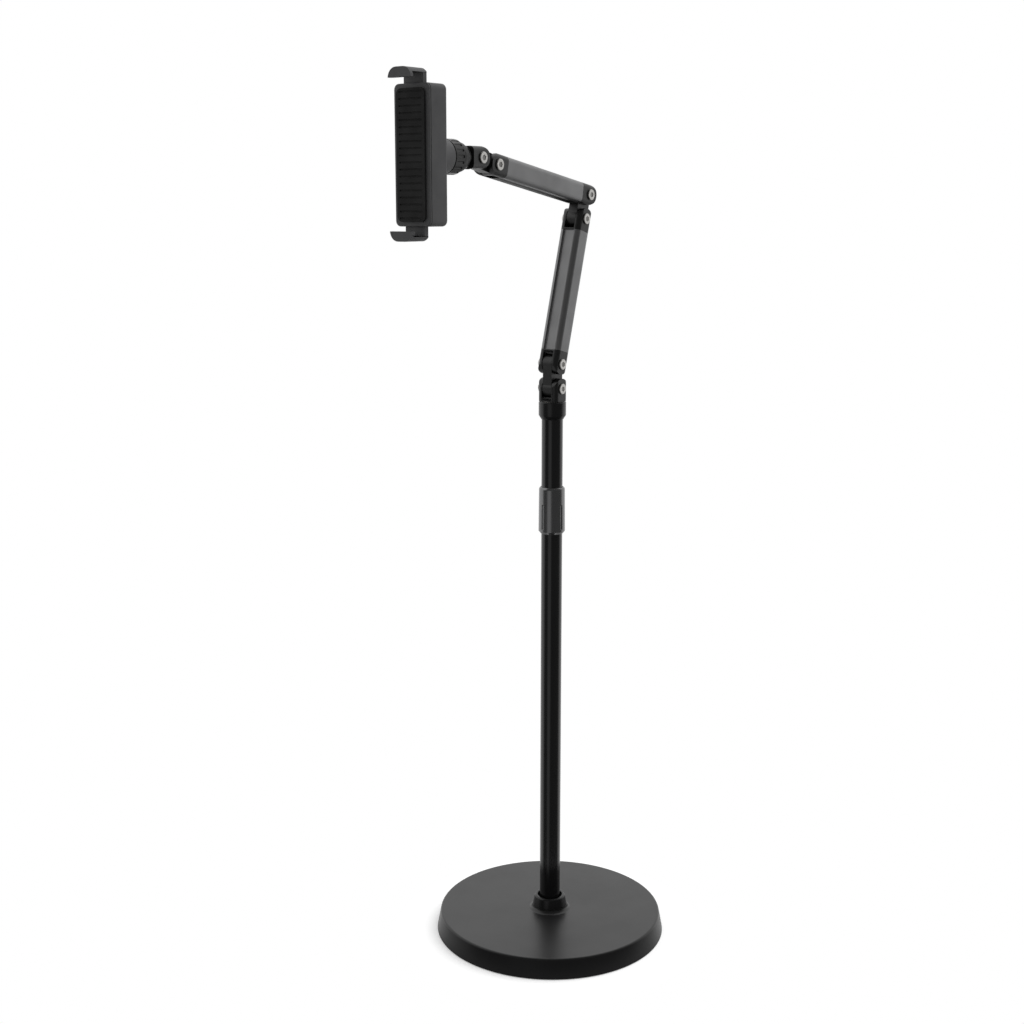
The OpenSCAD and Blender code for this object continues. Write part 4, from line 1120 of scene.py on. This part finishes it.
class STAND_OT_housing(bpy.types.Operator):
    """Models the holder's housing, its front cover and its ribbed pad"""

    bl_idname = "stand.housing"
    bl_label = "Holder housing"

    def execute(self, context):
        sizes = context.scene.stand_holder
        finishes(context.scene.stand_colours)
        self.model_back(sizes)
        self.model_front(sizes)
        self.model_pad(sizes)
        return {"FINISHED"}

    def model_back(self, sizes):
        back = rounded_plate(
            "housing_back", sizes.width, sizes.height, sizes.back_at, sizes.front_at, sizes.corner
        )
        round_edges(back, lambda edge: abs(middle(edge).z - sizes.back_at) < MERGE, sizes.back_edge, steps=4)
        cone_end = sizes.width / 2 - sizes.cone_inset
        neck = [
            (sizes.boss, sizes.boss_at),
            (sizes.boss, sizes.cone_at),
            (sizes.ring, sizes.cone_at),
            (cone_end, sizes.back_at),
            (cone_end, sizes.back_at + SPARE),
        ]
        combine(back, turned("housing_neck", neck, ring=False), "UNION")
        bore = sizes.stem + RUN_GAP
        stem_room = add_rod("stem_room", bore, (0, 0, sizes.boss_at - SPARE), (0, 0, sizes.stem_end + SPARE))
        combine(back, stem_room, "DIFFERENCE")
        slide = sizes.jaw_stem_wide / 2 + FREE_GAP
        channel = add_block(
            "jaw_channel",
            (-slide, -sizes.height, sizes.jaw_stem_at - RUN_GAP),
            (slide, sizes.height, sizes.front_at + SPARE),
        )
        combine(back, channel, "DIFFERENCE")
        reach = sizes.spring_radius + sizes.spring_wire + sizes.spring_room
        for way in (-1, 1):
            near, far = way * (sizes.jaw_stem_foot - sizes.jaw_stem_room), way * sizes.spring_to
            room = add_block(
                "spring_room",
                (-reach, min(near, far), sizes.rod_at - reach),
                (reach, max(near, far), sizes.jaw_stem_at),
            )
            combine(back, room, "DIFFERENCE")
        for box_low, box_high in self.screw_boxes():
            centre = (box_low + box_high) / 2
            radius = (box_high.x - box_low.x) / 2 + FREE_GAP
            at = (centre.x, centre.z - HOLDER_PIVOT.z)
            mouth, floor = (*at, sizes.back_at - SPARE), (*at, sizes.back_at + sizes.screw_sunk)
            combine(back, add_rod("screw_hole", radius, mouth, floor, sides=32), "DIFFERENCE")
        soften(back, width=0.0004)
        place(back, HOLDER_PIVOT, HOLDER_LEAN)
        finish(back, "holder", ["holder_back"], "holder_plastic")

    def screw_boxes(self):
        """Boxes of the four case screws, taken apart by their places."""
        points = [vertex.co for vertex in frame["nodes"]["holder_screws"].data.vertices]
        boxes = []
        for side_x in (-1, 1):
            for side_z in (-1, 1):
                own = [p for p in points if p.x * side_x > 0 and (p.z - HOLDER_PIVOT.z) * side_z > 0]
                lowest = Vector([min(p[axis] for p in own) for axis in range(3)])
                highest = Vector([max(p[axis] for p in own) for axis in range(3)])
                boxes.append((lowest, highest))
        return boxes

    def model_front(self, sizes):
        start, end = sizes.front_at + sizes.front_seam, sizes.front_at + sizes.front_thick
        front = rounded_plate("housing_front", sizes.width, sizes.height, start, end, sizes.corner)
        soften(front, width=0.0009, steps=4)
        place(front, HOLDER_PIVOT, HOLDER_LEAN)
        finish(front, "holder", ["holder_front"], "holder_plastic")

    def model_pad(self, sizes):
        start = sizes.front_at + sizes.front_thick
        end = start + sizes.pad_thick
        width, height = sizes.width - 2 * sizes.pad_margin, sizes.height - 2 * sizes.pad_margin
        pad = rounded_plate("front_pad", width, height, start, end, sizes.corner)
        half, side = sizes.groove_half, width / 2 - sizes.groove_margin
        for step in range(sizes.pad_grooves):
            at = height * ((step + 0.5) / sizes.pad_grooves - 0.5)
            groove = add_block(
                "pad_groove", (-side, at - half, end - sizes.groove_deep), (side, at + half, end + SPARE)
            )
            round_edges(groove, upright, half * GROOVE_END, steps=3)
            combine(pad, groove, "DIFFERENCE")
        soften(pad, width=0.0002)
        place(pad, HOLDER_PIVOT, HOLDER_LEAN)
        finish(pad, "holder", ["holder_pad"], "rubber")


# A face that looks further down than this is the shelf's underside
FACING_DOWN = -0.9


class STAND_OT_jaws(bpy.types.Operator):
    """Models a jaw and its pad once and sets them above and below"""

    bl_idname = "stand.jaws"
    bl_label = "Jaws"

    def execute(self, context):
        sizes = context.scene.stand_holder
        finishes(context.scene.stand_colours)
        jaw = self.model_jaw(sizes)
        pad = self.model_pad(sizes)
        for name, body, spin in (("top", "upper_jaw", 0.0), ("bottom", "lower_jaw", math.pi)):
            for pattern, node, slot in ((jaw, "_jaw", "holder_plastic"), (pad, "_jaw_pad", "rubber")):
                piece = copy_of(pattern, name + node + "_dressed")
                place(piece, HOLDER_PIVOT, HOLDER_LEAN, spin)
                finish(piece, body, [name + node], slot)
        bpy.data.objects.remove(jaw, do_unlink=True)
        bpy.data.objects.remove(pad, do_unlink=True)
        return {"FINISHED"}

    def hooked(self, name, half_wide, corner, far_corner, lip_start, lip_foot):
        """A shelf whose front end is extruded down into a lip."""
        shelf = add_block(name, (-half_wide, *corner), (half_wide, *far_corner))
        open_mesh(shelf)
        bpy.ops.mesh.select_all(action="SELECT")
        bpy.ops.mesh.bisect(plane_co=(0, 0, lip_start), plane_no=(0, 0, 1))
        pick(
            shelf, "faces",
            lambda face: face.normal.y < FACING_DOWN and face.calc_center_median().z > lip_start,
        )
        bpy.ops.mesh.extrude_region_move(TRANSFORM_OT_translate={"value": (0, lip_foot - corner[0], 0)})
        close_mesh()
        return shelf

    def model_jaw(self, sizes):
        half = sizes.jaw_wide / 2
        shelf = sizes.grip / 2 + sizes.jaw_pad
        top = shelf + sizes.jaw_thick
        lip_start = sizes.front_at + sizes.front_thick + sizes.pad_thick + sizes.slot + sizes.jaw_pad
        front = lip_start + sizes.lip_thick
        jaw = self.hooked(
            "jaw", half, (shelf, sizes.jaw_stem_at), (top, front), lip_start, sizes.grip / 2 - sizes.lip_tall
        )
        outline = add_block(
            "jaw_outline",
            (-half, top - sizes.jaw_wide, sizes.jaw_stem_at - SPARE),
            (half, top, front + SPARE),
        )
        round_edges(
            outline, lambda edge: upright(edge) and middle(edge).y > top - MERGE, sizes.jaw_corner, steps=8
        )
        combine(jaw, outline, "INTERSECT")
        stem_half = sizes.jaw_stem_wide / 2
        stem = add_block(
            "jaw_stem",
            (-stem_half, sizes.jaw_stem_foot, sizes.jaw_stem_at),
            (stem_half, shelf + sizes.jaw_stem_lap, sizes.jaw_stem_at + sizes.jaw_stem_thick),
        )
        combine(jaw, stem, "UNION")
        soften(jaw, width=0.0013, steps=4)
        return jaw

    def model_pad(self, sizes):
        half = sizes.jaw_wide / 2 - sizes.jaw_pad_inset
        face = sizes.grip / 2
        start = sizes.front_at + sizes.front_thick + sizes.pad_thick
        end = start + sizes.slot + sizes.jaw_pad
        far_corner = (face + sizes.jaw_pad, end)
        pad = self.hooked(
            "jaw_pad", half, (face, start), far_corner, end - sizes.jaw_pad, face - sizes.lip_tall
        )
        side = half + SPARE
        for step in range(sizes.ribs):
            at = start + sizes.rib_first + sizes.rib_pitch * step
            rib_end = (side, face + sizes.rib_deep, at + sizes.rib_wide)
            combine(pad, add_block("pad_rib", (-side, face - SPARE, at), rib_end), "DIFFERENCE")
        soften(pad, width=0.00015)
        return pad


# Sides of a spring's wire, and steps in one of its turns
WIRE_SIDES = 12
COIL_STEPS = 24


class STAND_OT_springs(bpy.types.Operator):
    """Models the coil springs that push the jaws together"""

    bl_idname = "stand.springs"
    bl_label = "Jaw springs"

    def execute(self, context):
        sizes = context.scene.stand_holder
        finishes(context.scene.stand_colours)
        wire = sizes.spring_wire / 2
        rise = sizes.spring_to - sizes.spring_from - 2 * sizes.spring_wire
        steps = COIL_STEPS * sizes.spring_turns
        for name, way in (("top", 1), ("bottom", -1)):
            bpy.ops.object.select_all(action="DESELECT")
            bpy.ops.mesh.primitive_circle_add(
                vertices=WIRE_SIDES, radius=wire, location=(sizes.spring_radius, 0, 0),
                rotation=(math.pi / 2, 0, 0),
            )
            spring = named(name + "_spring_dressed")
            modify(
                spring, "SCREW", axis="Z", angle=2 * math.pi * sizes.spring_turns, screw_offset=rise,
                steps=steps, render_steps=steps, use_merge_vertices=False,
            )
            open_mesh(spring)
            bpy.ops.mesh.select_all(action="SELECT")
            bpy.ops.mesh.fill_holes(sides=0)
            close_mesh()
            start = sizes.spring_from + sizes.spring_wire
            centre = HOLDER_PIVOT + Vector((0, -sizes.rod_at, way * start))
            place(spring, centre, 0.0 if way > 0 else math.pi)
            finish(spring, "holder", [name + "_spring"], "bolt_steel")
            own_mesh(spring)
        return {"FINISHED"}


# Camera that was fitted to the photo
CAMERA_PLACE = (0.8836, -1.1829, 0.743)
CAMERA_DIP = math.radians(11.45)
CAMERA_TURN = math.radians(38.3)
CAMERA_SENSOR = 36
CAMERA_LENS = 53.09
CAMERA_REACH = 200
# White floor that keeps the shadow, with the glow that lifts it to the backdrop's white
FLOOR_RADIUS = 0.16
FLOOR_COLOUR = (0.82, 0.82, 0.82, 1)
FLOOR_GLOW = 0.3
# Lamp overhead, and the even light from all round
LAMP_TURN = (math.radians(-18), math.radians(16), 0)
LAMP_ENERGY = 1.7
LAMP_ANGLE = math.radians(50)
EVEN_LIGHT = 0.5
# What shiny pieces mirror: direction, where light starts and is full, and its levels outside and inside
STUDIO_LIGHTS = (
    ((-0.686, 0.728, 0.0), -0.15, 0.15, 0.11, 1.0),
    ((-0.68, -0.537, 0.5), 0.85, 0.97, 0.0, 1.0),
    ((0.225, -0.953, -0.21), 0.93, 0.985, 0.0, 0.45),
)
# How that light is dimmed from below, in the same order
STUDIO_FLOOR = ((0.0, 0.0, 1.0), -0.62, -0.44, 0.4, 1.0)

# Solids that stay as they are, under the finish that each gets
SOLID_FINISHES = {
    "iron": ["counterweight"],
    "bolt_steel": [
        "hub_bolt", "hub_washer", "foot_plug", "pan_retainer", "pan_screw", "lower_set_screws",
        "upper_set_screws", "turn_retainer", "turn_screw", "holder_screws", "guide_rod",
    ],
    "nylon": [
        "lock_collet", "glide_bush", "tube_bushes", "pan_washer", "swivel_washers", "lower_washers",
        "upper_washers", "yoke_washers", "turn_washer",
    ],
}


class STAND_OT_solids(bpy.types.Operator):
    """Gives the solids that stay in sight or inside their finishes"""

    bl_idname = "stand.solids"
    bl_label = "Solids that stay"

    def execute(self, context):
        finishes(context.scene.stand_colours)
        for look, nodes in SOLID_FINISHES.items():
            for node in nodes:
                piece = frame["nodes"][node]
                piece.data.materials.clear()
                piece.data.materials.append(LOOKS[look])
        return {"FINISHED"}


class STAND_OT_stage(bpy.types.Operator):
    """Sets the floor, the studio light and the camera"""

    bl_idname = "stand.stage"
    bl_label = "Stage"

    def execute(self, context):
        context.scene.view_settings.view_transform = "Standard"
        self.set_camera(context.scene)
        self.lay_floor()
        self.light(context.scene)
        return {"FINISHED"}

    def set_camera(self, scene):
        bpy.ops.object.select_all(action="DESELECT")
        bpy.ops.object.camera_add(location=CAMERA_PLACE, rotation=(math.pi / 2 - CAMERA_DIP, 0, CAMERA_TURN))
        camera = bpy.context.active_object
        camera.name = "stand_camera"
        camera.data.sensor_width = CAMERA_SENSOR
        camera.data.lens = CAMERA_LENS
        camera.data.clip_end = CAMERA_REACH
        scene.camera = camera

    def lay_floor(self):
        bpy.ops.object.select_all(action="DESELECT")
        bpy.ops.mesh.primitive_circle_add(
            vertices=96, radius=FLOOR_RADIUS, fill_type="NGON", location=(0, 0, 0)
        )
        floor = named("floor")
        material = bpy.data.materials.new("floor_white")
        material.use_nodes = True
        tree = material.node_tree
        tree.nodes.clear()
        paint = tree.nodes.new("ShaderNodeBsdfDiffuse")
        paint.inputs["Color"].default_value = FLOOR_COLOUR
        glow = tree.nodes.new("ShaderNodeEmission")
        path = tree.nodes.new("ShaderNodeLightPath")
        seen = self.joined(tree, "ADD", path.outputs["Is Camera Ray"], path.outputs["Is Glossy Ray"])
        seen = self.joined(tree, "ADD", seen, path.outputs["Is Transmission Ray"])
        level = tree.nodes.new("ShaderNodeMath")
        level.operation = "MULTIPLY"
        level.inputs[1].default_value = FLOOR_GLOW
        tree.links.new(seen, level.inputs[0])
        tree.links.new(level.outputs["Value"], glow.inputs["Strength"])
        both = tree.nodes.new("ShaderNodeAddShader")
        tree.links.new(paint.outputs["BSDF"], both.inputs[0])
        tree.links.new(glow.outputs["Emission"], both.inputs[1])
        output = tree.nodes.new("ShaderNodeOutputMaterial")
        tree.links.new(both.outputs["Shader"], output.inputs["Surface"])
        floor.data.materials.append(material)

    def joined(self, tree, operation, first, second):
        node = tree.nodes.new("ShaderNodeMath")
        node.operation = operation
        node.use_clamp = True
        tree.links.new(first, node.inputs[0])
        tree.links.new(second, node.inputs[1])
        return node.outputs["Value"]

    def light(self, scene):
        bpy.ops.object.select_all(action="DESELECT")
        bpy.ops.object.light_add(type="SUN", location=(0, 0, 3), rotation=LAMP_TURN)
        overhead = bpy.context.active_object
        overhead.name = "overhead_light"
        overhead.data.energy = LAMP_ENERGY
        overhead.data.angle = LAMP_ANGLE
        overhead.visible_glossy = False
        world = bpy.data.worlds.new("studio")
        world.use_nodes = True
        scene.world = world
        tree = world.node_tree
        back = tree.nodes["Background"]
        back.inputs["Color"].default_value = (1, 1, 1, 1)
        way = tree.nodes.new("ShaderNodeTexCoord").outputs["Generated"]
        walls = [self.lobe(tree, way, *light) for light in STUDIO_LIGHTS]
        seen = walls[0]
        for wall in walls[1:]:
            seen = self.joined(tree, "ADD", seen, wall)
        seen = self.joined(tree, "MULTIPLY", seen, self.lobe(tree, way, *STUDIO_FLOOR))
        path = tree.nodes.new("ShaderNodeLightPath")
        soft = self.choice(tree, path.outputs["Is Diffuse Ray"], seen, EVEN_LIGHT)
        level = self.choice(tree, path.outputs["Is Camera Ray"], soft, 1.0)
        tree.links.new(level, back.inputs["Strength"])

    def lobe(self, tree, way, direction, start, end, dark, light):
        """Light that comes from round about a direction."""
        facing = tree.nodes.new("ShaderNodeVectorMath")
        facing.operation = "DOT_PRODUCT"
        facing.inputs[1].default_value = direction
        tree.links.new(way, facing.inputs[0])
        wall = ranged(tree, facing.outputs["Value"], start, end, dark, light)
        wall.interpolation_type = "SMOOTHSTEP"
        return wall.outputs["Result"]

    def choice(self, tree, factor, otherwise, value):
        node = tree.nodes.new("ShaderNodeMix")
        node.data_type = "FLOAT"
        node.inputs["B"].default_value = value
        tree.links.new(factor, node.inputs["Factor"])
        tree.links.new(otherwise, node.inputs["A"])
        return node.outputs["Result"]


PIECES = (
    STAND_OT_stage,
    STAND_OT_base,
    STAND_OT_pole,
    STAND_OT_sleeve,
    STAND_OT_forks,
    STAND_OT_links,
    STAND_OT_beams,
    STAND_OT_fasteners,
    STAND_OT_yoke,
    STAND_OT_housing,
    STAND_OT_jaws,
    STAND_OT_springs,
    STAND_OT_solids,
)
GROUPS = {
    "stand_base": BaseSizes,
    "stand_pole": PoleSizes,
    "stand_arm": ArmSizes,
    "stand_holder": HolderSizes,
    "stand_colours": StandColours,
}


class VIEW3D_PT_stand(bpy.types.Panel):
    """Lists the stand's pieces, sizes and colours"""

    bl_label = "Tablet floor stand"
    bl_space_type = "VIEW_3D"
    bl_region_type = "UI"
    bl_category = "Stand"

    def draw(self, context):
        for operator in PIECES:
            self.layout.operator(operator.bl_idname)
        for group in GROUPS:
            values = getattr(context.scene, group)
            box = self.layout.box()
            for value in values.bl_rna.properties.keys():
                if value not in ("rna_type", "name"):
                    box.prop(values, value)


def register():
    for group, kind in GROUPS.items():
        bpy.utils.register_class(kind)
        setattr(bpy.types.Scene, group, PointerProperty(type=kind))
    for kind in (*PIECES, VIEW3D_PT_stand):
        bpy.utils.register_class(kind)


def unregister():
    for kind in (VIEW3D_PT_stand, *reversed(PIECES)):
        bpy.utils.unregister_class(kind)
    for group, kind in GROUPS.items():
        delattr(bpy.types.Scene, group)
        bpy.utils.unregister_class(kind)


def main():
    register()
    bpy.ops.stand.stage()
    bpy.ops.stand.base()
    bpy.ops.stand.pole()
    bpy.ops.stand.sleeve()
    bpy.ops.stand.forks()
    bpy.ops.stand.links()
    bpy.ops.stand.beams()
    bpy.ops.stand.fasteners()
    bpy.ops.stand.yoke()
    bpy.ops.stand.housing()
    bpy.ops.stand.jaws()
    bpy.ops.stand.springs()
    bpy.ops.stand.solids()


if __name__ == "__main__":
    main()
